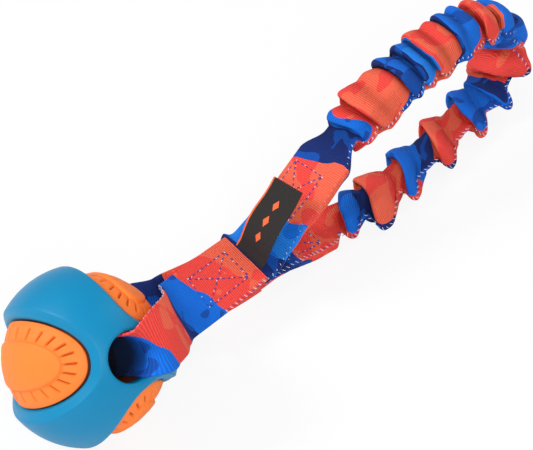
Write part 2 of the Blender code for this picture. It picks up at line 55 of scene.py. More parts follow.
# Studio: each lamp's place, width and power, and the pale surfaces
LAMPS = [("key_light", (-0.75, 0.70, 1.05), 0.45, 12.0), ("side_light", (-0.75, -0.80, 0.95), 0.6, 9.0),
         ("back_light", (0.9, -0.3, 1.0), 0.7, 3.0)]
LAMP_AIM = (0.0, 0.0, 0.03)
WHITE = (1.0, 1.0, 1.0, 1.0)
WORLD_STRENGTH, FLOOR_SIZE, FLOOR_SHADE, FLOOR_WHITE_SHARE = 0.42, 8.0, 0.86, 0.88

# Ball
BALL_RADIUS = 0.035
SHELL_INSIDE = 0.0293
EDGE_RADIUS = 0.0325
RIDGE_STEP = 0.0004
WINDOW_SQUARENESS = 2.2
WINDOW_HALF_LENGTH, WINDOW_HALF_WIDTH = 0.0289, 0.0180
LIP_WIDTH = 0.0035
CORE_RADIUS = 0.029
RIM_RISE, CROWN_RISE = 0.0021, 0.0029
PANEL_GAP = 0.0006
RIM_WIDTH = 0.0070
END_INSET_SHARE = 0.85
NOTCHES_PER_QUARTER = 6
NOTCH_LENGTH, NOTCH_DEPTH = 0.0046, 0.0011
BORE_RADIUS, MOUTH_ROUND, MOUTH_REACH = 0.0096, 0.0012, 0.01118
BORE_TURN, BORE_TILT, BALL_ROLL = math.radians(4.3), math.radians(36.0), math.radians(26.0)
BALL_CENTRE = Vector((-0.1142, 0.0005, 0.0319))
BORE_AXIS = Vector((-math.sin(BORE_TURN) * math.cos(BORE_TILT),
                    -math.cos(BORE_TURN) * math.cos(BORE_TILT), math.sin(BORE_TILT)))

# Webbing strap
STRAP_WIDTH, STRAP_THICKNESS = 0.025, 0.0015
STRAP_SLACK, STAND_OFF = 0.0006, 0.0010
BACK_ROLL, BACK_SWING = math.radians(25.0), math.radians(9.0)
FRONT_SWING = math.radians(9.0)

# Sewn panel
LAYER_GAP = 0.0005
PANEL_START, PANEL_LENGTH = 0.050, 0.036
PANEL_ASIDE, PANEL_DRIFT = 0.003, 0.001
PANEL_HEIGHT, PANEL_DROP = 0.0215, 0.0025
PANEL_ROLL, PANEL_UNROLL = 40.0, 21.0  # degrees
UNDER_ASIDE, NEAR_END_ASIDE = 0.0028, 0.0016

# Handle sleeve and elastic
SLEEVE_WIDTH, SLEEVE_THICKNESS = 0.025, 0.0024
ELASTIC_WIDTH, ELASTIC_THICKNESS, ELASTIC_ASIDE = 0.0120, 0.0014, 0.0008
ELASTIC_START, ELASTIC_END = 0.0626, 0.3864
HANDLE_REACH, ARCH_HEIGHT, HANDLE_SWAY = 0.1685, 0.059, 0.012
LOWER_LEG_HEIGHT = 0.0075
ANCHOR_HALF_THICKNESS = 0.0025

# Woven label
LABEL_WIDTH, LABEL_LENGTH, LABEL_THICKNESS, LABEL_SETBACK = 0.015, 0.036, 0.0006, 0.0012
LABEL_BORDER = 0.0008
LOZENGE_STEP, LOZENGE_HALF_WIDTH, LOZENGE_HALF_LENGTH = 0.0072, 0.0013, 0.0025
LABEL_RISES = (80.0, 86.0, 76.0, 60.0, 42.0, 32.0, 32.0, 40.0, 46.0)  # degrees, from its sewn end to its tip

# The handle's middle line, as in the part's own source: reach, side and height as shares
NEAR_ROUTE_SHARES = [
    (0.088, -0.42, 0.440), (0.192, -0.46, 0.585), (0.264, -0.50, 0.712), (0.341, -0.52, 0.830),
    (0.411, -0.56, 0.915), (0.488, -0.58, 0.966), (0.563, -0.60, 1.000), (0.640, -0.61, 1.010),
    (0.740, -0.60, 0.995), (0.840, -0.56, 0.940), (0.922, -0.50, 0.830), (0.975, -0.43, 0.670),
    (1.000, -0.39, 0.450), (0.982, -0.42, 0.245), (0.938, -0.50, 0.147),
]
FAR_ROUTE_SHARES = [(0.870, -0.62), (0.780, -0.76), (0.611, -0.92), (0.505, -1.00), (0.417, -0.96), (0.317, -0.70)]
FAR_DESCENT_SHARES = [(0.229, -0.50, 0.135), (0.153, -0.42, 0.175), (0.088, -0.38, 0.232)]

# Colours of the printed webbing
RED = (1.00, 0.080, 0.064)
ORANGE_RED = (1.00, 0.155, 0.086)
BLUE = (0.004, 0.170, 0.80)
PALE_BLUE = (0.016, 0.250, 0.90)
NAVY = (0.008, 0.028, 0.18)
DEEP_BLUE = (0.004, 0.085, 0.46)
STRAP_PRINT, SLEEVE_PRINT = 0.26, 0.45  # lengths that the print covers
SECOND_TONE = {RED: ORANGE_RED, ORANGE_RED: RED, BLUE: DEEP_BLUE, PALE_BLUE: BLUE, NAVY: DEEP_BLUE}

# Colours of the other pieces: the rubbers in a plain and a light tone, and a deep tone for painted shade in the bore
# and the gaps; the weaves in a plain tone and a tone for painted shade in their grooves; the threads in two
SHELL_TONES = ((0.000, 0.205, 0.42), (0.004, 0.27, 0.49), (0.000, 0.010, 0.030))
CORE_TONES = ((0.98, 0.205, 0.026), (1.0, 0.255, 0.042), (0.12, 0.018, 0.003))
# The painted shade of the strap where it lies inside the bore
BORE_PAINTED_SHADE = (0.002, 0.003, 0.010)
ELASTIC_TONES = ((0.80, 0.78, 0.72), (0.5, 0.48, 0.43))
LABEL_TONES, LABEL_ORANGE = ((0.042, 0.037, 0.037), (0.016, 0.014, 0.014)), (0.90, 0.16, 0.05)
BLUE_THREAD_TONES = ((0.035, 0.055, 0.36), (0.015, 0.025, 0.20))
WHITE_THREAD_TONES = ((0.85, 0.86, 0.90), (0.62, 0.64, 0.72))


# ---------------------------------------------------------------- camera, light and floor

def make_camera():
    """Stands the camera where the photograph was taken from."""
    back = Vector((math.sin(CAMERA_TURN) * math.cos(CAMERA_TILT), -math.cos(CAMERA_TURN) * math.cos(CAMERA_TILT),
                   math.sin(CAMERA_TILT)))
    right = Vector((math.cos(CAMERA_TURN), math.sin(CAMERA_TURN), 0.0))
    up = back.cross(right)
    depth = FOCAL_PIXELS / PIXELS_PER_MM / 1000
    aside = (BALL_ACROSS - FRAME_WIDTH / 2) / FOCAL_PIXELS * depth
    above = (FRAME_HEIGHT / 2 - BALL_DOWN) / FOCAL_PIXELS * depth
    place = BALL_CENTRE - right * aside - up * above + back * depth
    bpy.ops.object.select_all(action="DESELECT")
    bpy.ops.object.camera_add()
    camera = bpy.context.object
    camera.name = "camera"
    camera.matrix_world = Matrix(((right.x, up.x, back.x, place.x), (right.y, up.y, back.y, place.y),
                                  (right.z, up.z, back.z, place.z), (0, 0, 0, 1)))
    camera.data.sensor_width = SENSOR_WIDTH
    camera.data.lens = FOCAL_PIXELS * SENSOR_WIDTH / FRAME_WIDTH
    camera.data.clip_end = 20.0
    bpy.context.scene.camera = camera


def soft_light(name, place, width, power):
    """A round soft lamp, aimed at the toy."""
    bpy.ops.object.light_add(type="AREA", location=place)
    lamp = bpy.context.object
    lamp.name = name
    lamp.data.shape = "DISK"
    lamp.data.size = width
    lamp.data.energy = power
    lamp.rotation_euler = (Vector(LAMP_AIM) - Vector(place)).to_track_quat("-Z", "Y").to_euler()


def put_out(tree, white_share, lit, white, output):
    """Mixes a lit surface with plain white, and puts the result out."""
    either = node(tree, "ShaderNodeMixShader")
    for socket, source in zip(either.inputs, (white_share, lit.outputs[0], white.outputs[0])):
        tree.links.new(source, socket)
    tree.links.new(either.outputs[0], node(tree, output).inputs["Surface"])


def make_studio():
    """Soft lamps, a world that the camera sees as white, and a pale floor that keeps the toy's shadow."""
    for lamp in LAMPS:
        soft_light(*lamp)
    world = bpy.data.worlds.new("studio")
    bpy.context.scene.world = world
    world.use_nodes = True
    tree = world.node_tree
    tree.nodes.clear()
    rays = node(tree, "ShaderNodeLightPath")
    seen = calc(tree, "MAXIMUM", rays.outputs["Is Camera Ray"], rays.outputs["Is Transmission Ray"])
    ambient, white = node(tree, "ShaderNodeBackground"), node(tree, "ShaderNodeBackground")
    for background, strength in ((ambient, WORLD_STRENGTH), (white, 1.0)):
        background.inputs["Color"].default_value = WHITE
        background.inputs["Strength"].default_value = strength
    put_out(tree, seen, ambient, white, "ShaderNodeOutputWorld")

    bpy.ops.object.select_all(action="DESELECT")
    bpy.ops.mesh.primitive_plane_add(size=FLOOR_SIZE, location=(0, 0, 0))
    floor = bpy.context.object
    floor.name = "studio_floor"
    material = bpy.data.materials.new("studio_floor")
    material.use_nodes = True
    tree = material.node_tree
    tree.nodes.clear()
    paint = node(tree, "ShaderNodeBsdfDiffuse")
    paint.inputs["Color"].default_value = (FLOOR_SHADE, FLOOR_SHADE, FLOOR_SHADE, 1.0)
    glow = node(tree, "ShaderNodeEmission")
    glow.inputs["Color"].default_value = WHITE
    rays = node(tree, "ShaderNodeLightPath")
    put_out(tree, calc(tree, "MULTIPLY", rays.outputs["Is Camera Ray"], FLOOR_WHITE_SHARE), paint, glow,
            "ShaderNodeOutputMaterial")
    floor.data.materials.append(material)
    bpy.context.scene.view_settings.view_transform = "Standard"


# ---------------------------------------------------------------- modelling helpers

def take(obj):
    """Selects one piece alone and makes it active."""
    bpy.ops.object.select_all(action="DESELECT")
    obj.select_set(True)
    bpy.context.view_layer.objects.active = obj
    return obj


def laid_grid(name, points, maps=None):
    """A grid primitive whose corners are laid at points[row][column], with UV maps given the same way."""
    points = np.asarray(points, float)
    rows, columns = points.shape[0] - 1, points.shape[1] - 1
    bpy.ops.object.select_all(action="DESELECT")
    bpy.ops.mesh.primitive_grid_add(x_subdivisions=columns, y_subdivisions=rows, size=1.0)
    obj = bpy.context.object
    obj.name = name
    mesh = obj.data
    mesh.name = name
    flat = np.zeros(len(mesh.vertices) * 3)
    mesh.vertices.foreach_get("co", flat)
    flat = flat.reshape(-1, 3)
    column = np.rint((flat[:, 0] + 0.5) * columns).astype(int)
    row = np.rint((flat[:, 1] + 0.5) * rows).astype(int)
    mesh.vertices.foreach_set("co", points[row, column].ravel())
    corner = np.zeros(len(mesh.loops), int)
    mesh.loops.foreach_get("vertex_index", corner)
    while mesh.uv_layers:
        mesh.uv_layers.remove(mesh.uv_layers[0])
    for key, values in (maps or {}).items():
        layer = mesh.uv_layers.new(name=key)
        layer.data.foreach_set("uv", np.asarray(values, float)[row[corner], column[corner]].ravel())
    mesh.update()
    return obj


def close_up(obj, weld, fill=True):
    """Merges doubled corners, closes open ends and turns the faces outwards."""
    take(obj)
    bpy.ops.object.mode_set(mode="EDIT")
    bpy.ops.mesh.select_all(action="SELECT")
    bpy.ops.mesh.remove_doubles(threshold=weld)
    if fill:
        bpy.ops.mesh.select_all(action="DESELECT")
        bpy.ops.mesh.select_mode(type="EDGE")
        bpy.ops.mesh.select_non_manifold(extend=False, use_wire=False, use_multi_face=False,
                                         use_non_contiguous=False, use_verts=False)
        bpy.ops.mesh.fill_holes(sides=0)
    bpy.ops.mesh.select_all(action="SELECT")
    bpy.ops.mesh.normals_make_consistent(inside=False)
    bpy.ops.object.mode_set(mode="OBJECT")
    return obj


def joined(name, pieces):
    """Several pieces joined into one."""
    bpy.ops.object.select_all(action="DESELECT")
    for piece in pieces:
        piece.select_set(True)
    bpy.context.view_layer.objects.active = pieces[0]
    bpy.ops.object.join()
    pieces[0].name = name
    pieces[0].data.name = name
    return pieces[0]


def three_round(piece):
    """The piece and two copies, each turned a third of the way about the bore."""
    pieces = [piece]
    for k in (1, 2):
        take(piece)
        bpy.ops.object.duplicate()
        copy = bpy.context.object
        copy.data.transform(Matrix.Rotation(2 * math.pi * k / 3, 4, "Z"))
        pieces.append(copy)
    return pieces


def smooth(obj, degrees):
    """Shades a piece smooth, but for edges sharper than that."""
    take(obj)
    bpy.ops.object.shade_smooth_by_angle(angle=math.radians(degrees))
    return obj


def dress(obj, material):
    """Gives a piece its material."""
    obj.data.materials.clear()
    obj.data.materials.append(material)
    return obj


BAND_WELD, BALL_WELD, STITCH_WELD = 1e-7, 2e-5, 1e-8


def cloth_map(across, along):
    """A UV map for a laid grid, from its two numbers at each corner."""
    return np.stack(np.broadcast_arrays(across, along), axis=2)


def band_section(width, thickness, corners):
    """How far aside and how high each corner lies round a flat band with rounded edges."""
    turn = np.linspace(0, 2 * math.pi, corners + 1)
    return np.cos(turn) * width / 2, np.sign(np.sin(turn)) * np.abs(np.sin(turn)) ** 0.3 * thickness / 2


def flat_band(name, route, distances, width, thickness, corners, aside=0.0):
    """A flat band along a route, with its weave map."""
    point, _, across, up, _ = route.frames(distances)
    lateral, rise = band_section(width, thickness, corners)
    lateral = lateral + aside
    points = point[:, None] + across[:, None] * lateral[None, :, None] + up[:, None] * rise[None, :, None]
    weave = cloth_map(lateral[None, :], distances[:, None])
    return smooth(close_up(laid_grid(name, points, {"weave": weave}), BAND_WELD), 60)


# ---------------------------------------------------------------- routes, as in the part's own source

class Route:
    """A smooth line through stations of (point, width direction, curl), read by the distance along it."""

    def __init__(self, stations, spans=10):
        self.samples = []
        last = len(stations) - 1
        for k in range(last):
            rows = [stations[max(k - 1, 0)], stations[k], stations[k + 1], stations[min(k + 2, last)]]
            for i in range(spans):
                self.samples.append(self.between(rows, i / spans))
        self.samples.append(stations[-1])
        self.along = [0.0]
        for near, far in zip(self.samples, self.samples[1:]):
            self.along.append(self.along[-1] + (far[0] - near[0]).length)
        self.length = self.along[-1]

    @staticmethod
    def between(rows, t):
        a, b, c, d = (row[0] for row in rows)
        before, span, after = (b - a).length, (c - b).length, (d - c).length
        slope = (c - b) / span
        leave = slope if before == 0 else ((b - a) / before * span + slope * before) / (before + span)
        arrive = slope if after == 0 else (slope * after + (d - c) / after * span) / (span + after)
        point = (b * (2 * t ** 3 - 3 * t ** 2 + 1) + c * (3 * t ** 2 - 2 * t ** 3)
                 + span * leave * (t ** 3 - 2 * t ** 2 + t) + span * arrive * (t ** 3 - t ** 2))
        width = rows[1][1].lerp(rows[2][1], t)
        curl = rows[1][2] + (rows[2][2] - rows[1][2]) * t
        return point, width, curl

    def frames(self, distances):
        """Points, tangents, width and upward directions and curls there, as arrays."""
        along = np.array(self.along)
        points = np.array([tuple(row[0]) for row in self.samples])
        widths = np.array([tuple(row[1]) for row in self.samples])
        curls = np.array([row[2] for row in self.samples])

        def read(values, at):
            return np.stack([np.interp(at, along, values[:, i]) for i in range(3)], axis=1)

        at = np.clip(np.asarray(distances, float), 0.0, self.length)
        reach = self.length / 500
        point = read(points, at)
        ahead, behind = (read(points, np.clip(at + step, 0, self.length)) for step in (reach, -reach))
        tangent = unit(ahead - behind)
        width = read(widths, at)
        width = unit(width - np.sum(width * tangent, axis=1, keepdims=True) * tangent)
        return point, tangent, width, np.cross(tangent, width), np.interp(at, along, curls)

    def distance_at(self, test):
        return next(at for at, row in zip(self.along, self.samples) if test(row[0]))


def unit(values):
    """The same directions, one long."""
    return values / np.linalg.norm(values, axis=-1, keepdims=True)


def ease(value, low=0.0, high=1.0):
    """0 before low, 1 after high, and a smooth rise between."""
    share = np.clip((np.asarray(value, float) - low) / (high - low), 0.0, 1.0)
    return share * share * (3 - 2 * share)


def panel_frame(share):
    """The sewn panel's middle, width direction and upward direction, from its ball end to its handle end."""
    middle = Vector((BALL_CENTRE.x + PANEL_START + PANEL_LENGTH * share,
                     BALL_CENTRE.y - PANEL_ASIDE - PANEL_DRIFT * share, PANEL_HEIGHT - PANEL_DROP * share))
    roll = math.radians(PANEL_ROLL - PANEL_UNROLL * share)
    return middle, Vector((0, math.cos(roll), math.sin(roll))), Vector((0, -math.sin(roll), math.cos(roll)))


def panel_layer(share, offset, aside=0.0):
    """A station of one layer of the panel; a layer may fan out sideways towards the panel's ball end."""
    middle, width, up = panel_frame(share)
    return middle + up * offset + width * (aside * (1 - min(max(share, 0.0), 1.0)) ** 2), width, 0.0


SLEEVE_LAYER = (SLEEVE_THICKNESS + LAYER_GAP) / 2
STRAP_LAYER = SLEEVE_LAYER + SLEEVE_THICKNESS / 2 + LAYER_GAP + STRAP_THICKNESS / 2


def strap_route():
    """The strap's line: from the panel's top, curled through the bore, and back to the panel's underside."""
    start = panel_frame(0)[0] - BALL_CENTRE
    pull = (start - start.dot(BORE_AXIS) * BORE_AXIS).normalized()
    across = BORE_AXIS.cross(pull)
    inside = BORE_RADIUS - STRAP_SLACK - STRAP_THICKNESS / 2
    full = 1 / inside
    low = Vector((0, math.cos(BACK_ROLL), math.sin(BACK_ROLL)))
    outer = BALL_RADIUS + STAND_OFF

    def fold(side, swing, outer_width):
        sideways = pull * math.cos(swing) + across * math.sin(swing)
        width = across * math.cos(swing) - pull * math.sin(swing)
        # by height along the bore, reach from it, share of the full curl, and share of the outer width direction
        if side > 0:
            rows = [(outer - 0.0012, 0.0170, 0.0, 1.0), (outer, 0.0135, 0.12, 1.0),
                    (outer - 0.0004, 0.0107, 0.45, 0.75), (BALL_RADIUS - MOUTH_ROUND, inside + 0.0002, 0.88, 0.15),
                    (BALL_RADIUS * 0.78, inside, 1.0, 0.0)]
        else:
            rows = [(outer - STRAP_THICKNESS, BORE_RADIUS * 1.95, 0.0, 1.0), (outer, BORE_RADIUS * 1.5, 0.35, 1.0),
                    (outer, BORE_RADIUS * 1.16, 0.7, 0.75), (BALL_RADIUS - MOUTH_ROUND, inside + 0.00015, 0.95, 0.15),
                    (BALL_RADIUS * 0.78, inside, 1.0, 0.0)]
        return [(BALL_CENTRE + BORE_AXIS * side * height + sideways * reach, width.lerp(outer_width, turn),
                 -full * curl) for height, reach, curl, turn in rows]

    shares = (-0.1, 0.0, 0.25, 0.5, 0.75, 1.0)
    top = [panel_layer(share, STRAP_LAYER) for share in reversed(shares)]
    front = fold(1, FRONT_SWING, across)
    middle = [(BALL_CENTRE + pull * inside, across, -full)]
    back = fold(-1, BACK_SWING, low)[::-1]
    under = [panel_layer(share, -STRAP_LAYER, UNDER_ASIDE) for share in shares]
    lead_in = [(front[0][0].lerp(top[-1][0], 0.7), across.lerp(top[-1][1], 0.5), 0.0)]
    lead_out = [(back[-1][0].lerp(under[0][0], 0.7), low.lerp(under[0][1], 0.5), 0.0)]
    return Route(top + lead_in + front + middle + back + lead_out + under)


def handle_route():
    """The handle's line: out of the panel, up the near leg, round the loop's end and back down the far leg."""
    across = Vector((0, 1, 0))

    def place(row, height=None):
        return Vector((BALL_CENTRE.x + PANEL_START + PANEL_LENGTH + HANDLE_REACH * row[0],
                       BALL_CENTRE.y + HANDLE_SWAY * row[1], ARCH_HEIGHT * row[2] if height is None else height))

    shares = (0.0, 0.25, 0.5, 0.75, 1.0, 1.1)
    near = [panel_layer(share, SLEEVE_LAYER, NEAR_END_ASIDE) for share in shares]
    near += [(place(row), across, 0.0) for row in NEAR_ROUTE_SHARES]
    far = [(place(row, LOWER_LEG_HEIGHT), across, 0.0) for row in FAR_ROUTE_SHARES]
    far += [(place(row), across, 0.0) for row in FAR_DESCENT_SHARES]
    far += [panel_layer(share, -SLEEVE_LAYER, UNDER_ASIDE) for share in reversed(shares)]
    return Route(near + far)


# ---------------------------------------------------------------- moulded ball

def ball_matrix():
    """Turns the ball's bore and first window from its own axes to where they lie."""
    side = Vector((-1, 0, 0))
    side = (side - side.dot(BORE_AXIS) * BORE_AXIS).normalized()
    up = BORE_AXIS.cross(side)
    if up.z < 0:
        up.negate()
    window = math.cos(BALL_ROLL) * side + math.sin(BALL_ROLL) * up
    across = BORE_AXIS.cross(window)
    return Matrix.Translation(BALL_CENTRE) @ Matrix((window, across, BORE_AXIS)).transposed().to_4x4()


def quarters(values):
    """Mirrors a quarter's directions, from a window's end to its side, into a full closed ring."""
    count = len(values) - 1
    ring = []
    for c in range(4 * count + 1):
        quadrant, step = divmod(c, count)
        if quadrant == 4:
            quadrant, step = 0, 0
        q = step if quadrant % 2 == 0 else count - step
        x, y, z = values[q]
        ring.append((x, y * (1, 1, -1, -1)[quadrant], z * (1, -1, -1, 1)[quadrant]))
    return np.array(ring)


def outline(turns, half_length, half_width, radius):
    """Unit directions round a quarter of a window's rounded outline, sized on a sphere of that radius."""
    power = 2 / WINDOW_SQUARENESS
    z = half_length * np.cos(turns).clip(0) ** power
    y = half_width * np.sin(turns).clip(0) ** power
    x = np.sqrt(radius ** 2 - y ** 2 - z ** 2)
    return quarters(unit(np.stack([x, y, z], axis=1)))


def inset_outline(turns, inset):
    """A window's outline, set in evenly along its sides and a little less at its ends."""
    return outline(turns, WINDOW_HALF_LENGTH - inset * END_INSET_SHARE, WINDOW_HALF_WIDTH - inset, EDGE_RADIUS)


def third_boundary(count, mouth_count, mouth_angle):
    """Unit directions round the third of the ball that belongs to one window."""
    values = []
    for q in range(count + 1):
        if q <= mouth_count:
            azimuth, polar = math.pi / 3 * q / mouth_count, mouth_angle
        else:
            azimuth = math.pi / 3
            polar = mouth_angle + (math.pi / 2 - mouth_angle) * (q - mouth_count) / (count - mouth_count)
        values.append((math.sin(polar) * math.cos(azimuth), math.sin(polar) * math.sin(azimuth), math.cos(polar)))
    return quarters(values)


def bore_wall(mouth_count, profile):
    """A turned wall through the bore, its corners in line with those of the three thirds."""
    turn = np.linspace(0, 2 * math.pi, 6 * mouth_count + 1) - math.pi / 3
    rows = [np.stack([r * np.cos(turn), r * np.sin(turn), np.full_like(turn, z)], axis=1) for r, z in profile]
    return laid_grid("bore_wall", rows)


CORNER_TURN = math.radians(20.6)
# The dished lip round a window, by share of its width: the dish, and then its roll over onto the ball
DISH_SHARES, DISH_POWER = (0.2, 0.38, 0.56, 0.74, 0.88), 1.25
LIP_TOP = BALL_RADIUS - RIDGE_STEP
LIP_ROLL = [(0.96, LIP_TOP + 0.00004), (1.02, LIP_TOP + 0.00024), (1.09, BALL_RADIUS - 0.00005)]
LIP_END = 1.16
# A window's edge, by how far it is set in and its radius
WINDOW_EDGE = [(0.0, SHELL_INSIDE), (0.0, 0.0309), (0.0, EDGE_RADIUS - 0.0005), (-0.00008, EDGE_RADIUS - 0.00018),
               (-0.0003, EDGE_RADIUS + 0.00005)]
# How deep a notch is cut, by distance from its middle
NOTCH_STEPS = [(0.0, 1.0), (0.00028, 0.92), (0.00046, 0.55), (0.00060, 0.12), (0.00080, 0.0)]


def make_shell(material):
    """The blue shell: dished lips round three windows, soft ridges, and a flared bore."""
    count, mouth_count = 40, 9
    turns = np.concatenate([np.linspace(0, CORNER_TURN, mouth_count + 1),
                            np.linspace(CORNER_TURN, math.pi / 2, count - mouth_count + 1)[1:]])
    outer_angle = math.acos(math.sqrt(BALL_RADIUS ** 2 - MOUTH_REACH ** 2) / BALL_RADIUS)
    inner_angle = math.asin(BORE_RADIUS / SHELL_INSIDE)
    inner = third_boundary(count, mouth_count, inner_angle)
    outer = third_boundary(count, mouth_count, outer_angle)
    edge = inset_outline(turns, 0.0)
    rows = [inner * SHELL_INSIDE, unit(inner * 0.5 + edge * 0.5) * SHELL_INSIDE]
    rows += [inset_outline(turns, inset) * radius for inset, radius in WINDOW_EDGE]

    def lip(share, radius):
        grow = LIP_WIDTH * share
        return outline(turns, WINDOW_HALF_LENGTH + grow, WINDOW_HALF_WIDTH + grow,
                       EDGE_RADIUS + (BALL_RADIUS - EDGE_RADIUS) * share) * radius

    rows += [lip(share, WINDOW_EDGE[-1][1] + (LIP_TOP - EDGE_RADIUS) * share ** DISH_POWER) for share in DISH_SHARES]
    rows += [lip(share, radius) for share, radius in LIP_ROLL]
    start = lip(LIP_END, BALL_RADIUS) / BALL_RADIUS
    rows.append(start * BALL_RADIUS)
    for share in np.linspace(0, 1, 12)[1:]:
        rows.append(unit(start * (1 - share) + outer * share) * BALL_RADIUS)
    third = laid_grid("shell_third", rows)
    centre = BORE_RADIUS + MOUTH_ROUND
    height = math.sqrt((BALL_RADIUS - MOUTH_ROUND) ** 2 - centre ** 2)
    flare = math.atan2(height, centre)
    mouth = [(BALL_RADIUS * math.sin(outer_angle), BALL_RADIUS * math.cos(outer_angle))]
    for i in range(1, 8):
        angle = flare + (math.pi - flare) * i / 7
        mouth.append((centre + MOUTH_ROUND * math.cos(angle), height + MOUTH_ROUND * math.sin(angle)))
    mouth.append((BORE_RADIUS, SHELL_INSIDE * math.cos(inner_angle)))
    upper = bore_wall(mouth_count, mouth)
    lower = bore_wall(mouth_count, [(r, -z) for r, z in mouth])
    shell = close_up(joined("rubber_shell", three_round(third) + [upper, lower]), BALL_WELD, fill=False)
    shell.data.transform(ball_matrix())
    dress(smooth(shell, 50), material)
    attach(shell, "ball")
    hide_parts("ball_shell")


def notch_turns(quarter_turns):
    """Outline turns for a quarter of a panel, close together at each notch, and how deep each one is cut."""
    samples = 4001
    fine = np.linspace(0, math.pi / 2, samples)
    ring = inset_outline(fine, PANEL_GAP + RIM_WIDTH * 0.5)[:samples] * (CORE_RADIUS + RIM_RISE)
    along = np.concatenate([[0], np.cumsum(np.linalg.norm(np.diff(ring, axis=0), axis=1))])
    centres = np.interp(quarter_turns, fine, along)
    wanted = []
    for centre in centres:
        for side in (-1, 1):
            for offset, depth in NOTCH_STEPS:
                at = centre + side * offset
                if -1e-9 <= at <= along[-1] + 1e-9:
                    wanted.append((at, depth))
    for near, far in zip(centres, centres[1:]):
        for share in (0.25, 0.4, 0.6, 0.75):
            wanted.append((near + (far - near) * share, 0.0))
    wanted = sorted({(round(max(at, 0.0), 7), depth) for at, depth in wanted})
    turns = np.interp([at for at, _ in wanted], along, fine)
    return turns, np.array([depth for _, depth in wanted])


def make_core(material):
    """The orange core: three raised panels, each with a notched rim round a smooth oval, and the bore."""
    turns, depths = notch_turns(np.linspace(0, math.pi / 2, NOTCHES_PER_QUARTER + 1))
    count = len(turns) - 1
    mouth_count = int(np.searchsorted(turns, CORNER_TURN))
    cut = np.abs(quarters(np.stack([depths, depths, depths], axis=1))[:, :1])
    angle = math.asin(BORE_RADIUS / CORE_RADIUS)
    outer = third_boundary(count, mouth_count, angle)
    rim, crown, oval = CORE_RADIUS + RIM_RISE, CORE_RADIUS + CROWN_RISE, PANEL_GAP + RIM_WIDTH
    base = inset_outline(turns, PANEL_GAP - 0.0002)
    rows = [outer * CORE_RADIUS, unit(outer * 0.5 + base * 0.5) * CORE_RADIUS, base * CORE_RADIUS,
            inset_outline(turns, PANEL_GAP) * (CORE_RADIUS + 0.0002)]
    notch_end = oval - NOTCH_LENGTH
    # by how far it is set in, its radius, and the share of the notches' depth
    profile = [
        (PANEL_GAP, rim - 0.0007, 0), (PANEL_GAP + 0.00004, rim - 0.0003, 0),
        (PANEL_GAP + 0.00014, rim - 0.00012, 0), (PANEL_GAP + 0.00035, rim - 0.00002, 0),
        (PANEL_GAP + 0.0012, rim, 0), (notch_end - 0.0004, rim + 0.00005, 0),
        (notch_end, rim + 0.00005, 0.15), (notch_end + 0.00025, rim + 0.00005, 0.75),
        (notch_end + 0.0006, rim + 0.00003, 1.0), (notch_end + 0.0016, rim, 1.0),
        (notch_end + 0.0027, rim, 1.0), (oval - 0.0009, rim - 0.00002, 0.95),
        (oval - 0.0004, rim - 0.00012, 0.7), (oval, rim - 0.0002, 0.2),
        (oval + 0.00035, rim - 0.00005, 0), (oval + 0.0006, rim + 0.0003, 0),
        (oval + 0.0009, crown - 0.00018, 0), (oval + 0.0014, crown - 0.00002, 0),
        (oval + 0.0021, crown + 0.00002, 0)]
    for inset, radius, share in profile:
        rows.append(inset_outline(turns, inset) * (radius - NOTCH_DEPTH * share * cut))
    start = inset_outline(turns, profile[-1][0])
    for share in (0.25, 0.5, 0.75, 0.92):
        rows.append(unit(start * (1 - share) + np.array([1.0, 0, 0]) * share) * crown)
    rows.append(np.tile([crown, 0.0, 0.0], (start.shape[0], 1)))
    third = laid_grid("core_third", rows)
    wall = CORE_RADIUS * math.cos(angle)
    bore = bore_wall(mouth_count, [(BORE_RADIUS, wall), (BORE_RADIUS, 0.0), (BORE_RADIUS, -wall)])
    core = close_up(joined("rubber_core", three_round(third) + [bore]), BALL_WELD, fill=False)
    core.data.transform(ball_matrix())
    dress(smooth(core, 40), material)
    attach(core, "ball")
    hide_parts("ball_core")


# ---------------------------------------------------------------- webbing strap

def make_strap(route, material):
    """The flat webbing strap, curled where it goes through the bore."""
    corners, step = 44, 0.0009
    distances = np.linspace(0.0, route.length, int(route.length / step) + 1)
    point, _, across, up, curl = route.frames(distances)
    lateral, rise = band_section(STRAP_WIDTH, STRAP_THICKNESS, corners)
    angle = curl[:, None] * lateral[None, :]
    bent = np.abs(curl) > 1.0
    safe = np.where(bent, curl, 1.0)[:, None]
    sideways = np.where(bent[:, None], np.sin(angle) / safe, lateral[None, :])
    upward = np.where(bent[:, None], (1 - np.cos(angle)) / safe, 0.0)
    out_side = np.where(bent[:, None], -np.sin(angle), 0.0)
    out_up = np.where(bent[:, None], np.cos(angle), 1.0)
    points = (point[:, None] + across[:, None] * (sideways + out_side * rise)[..., None]
              + up[:, None] * (upward + out_up * rise)[..., None])
    girth = np.concatenate([[0], np.cumsum(np.hypot(np.diff(lateral), np.diff(rise)))])
    prints = cloth_map(lateral[None, :], distances[:, None])
    weave = cloth_map(girth[None, :], distances[:, None])
    # How far inside the ball each corner lies, for the painted shade in the bore
    inside = 1 - ease(np.linalg.norm(points - np.array(BALL_CENTRE), axis=2), 0.021, 0.034)
    maps = {"print": prints, "weave": weave, "bore": cloth_map(inside, 0 * inside)}
    strap = close_up(laid_grid("webbing_strap", points, maps), BAND_WELD)
    dress(smooth(strap, 60), material)
    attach(strap, "strap")
    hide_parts("ball_strap")
    return points, distances


# ---------------------------------------------------------------- gathered sleeve

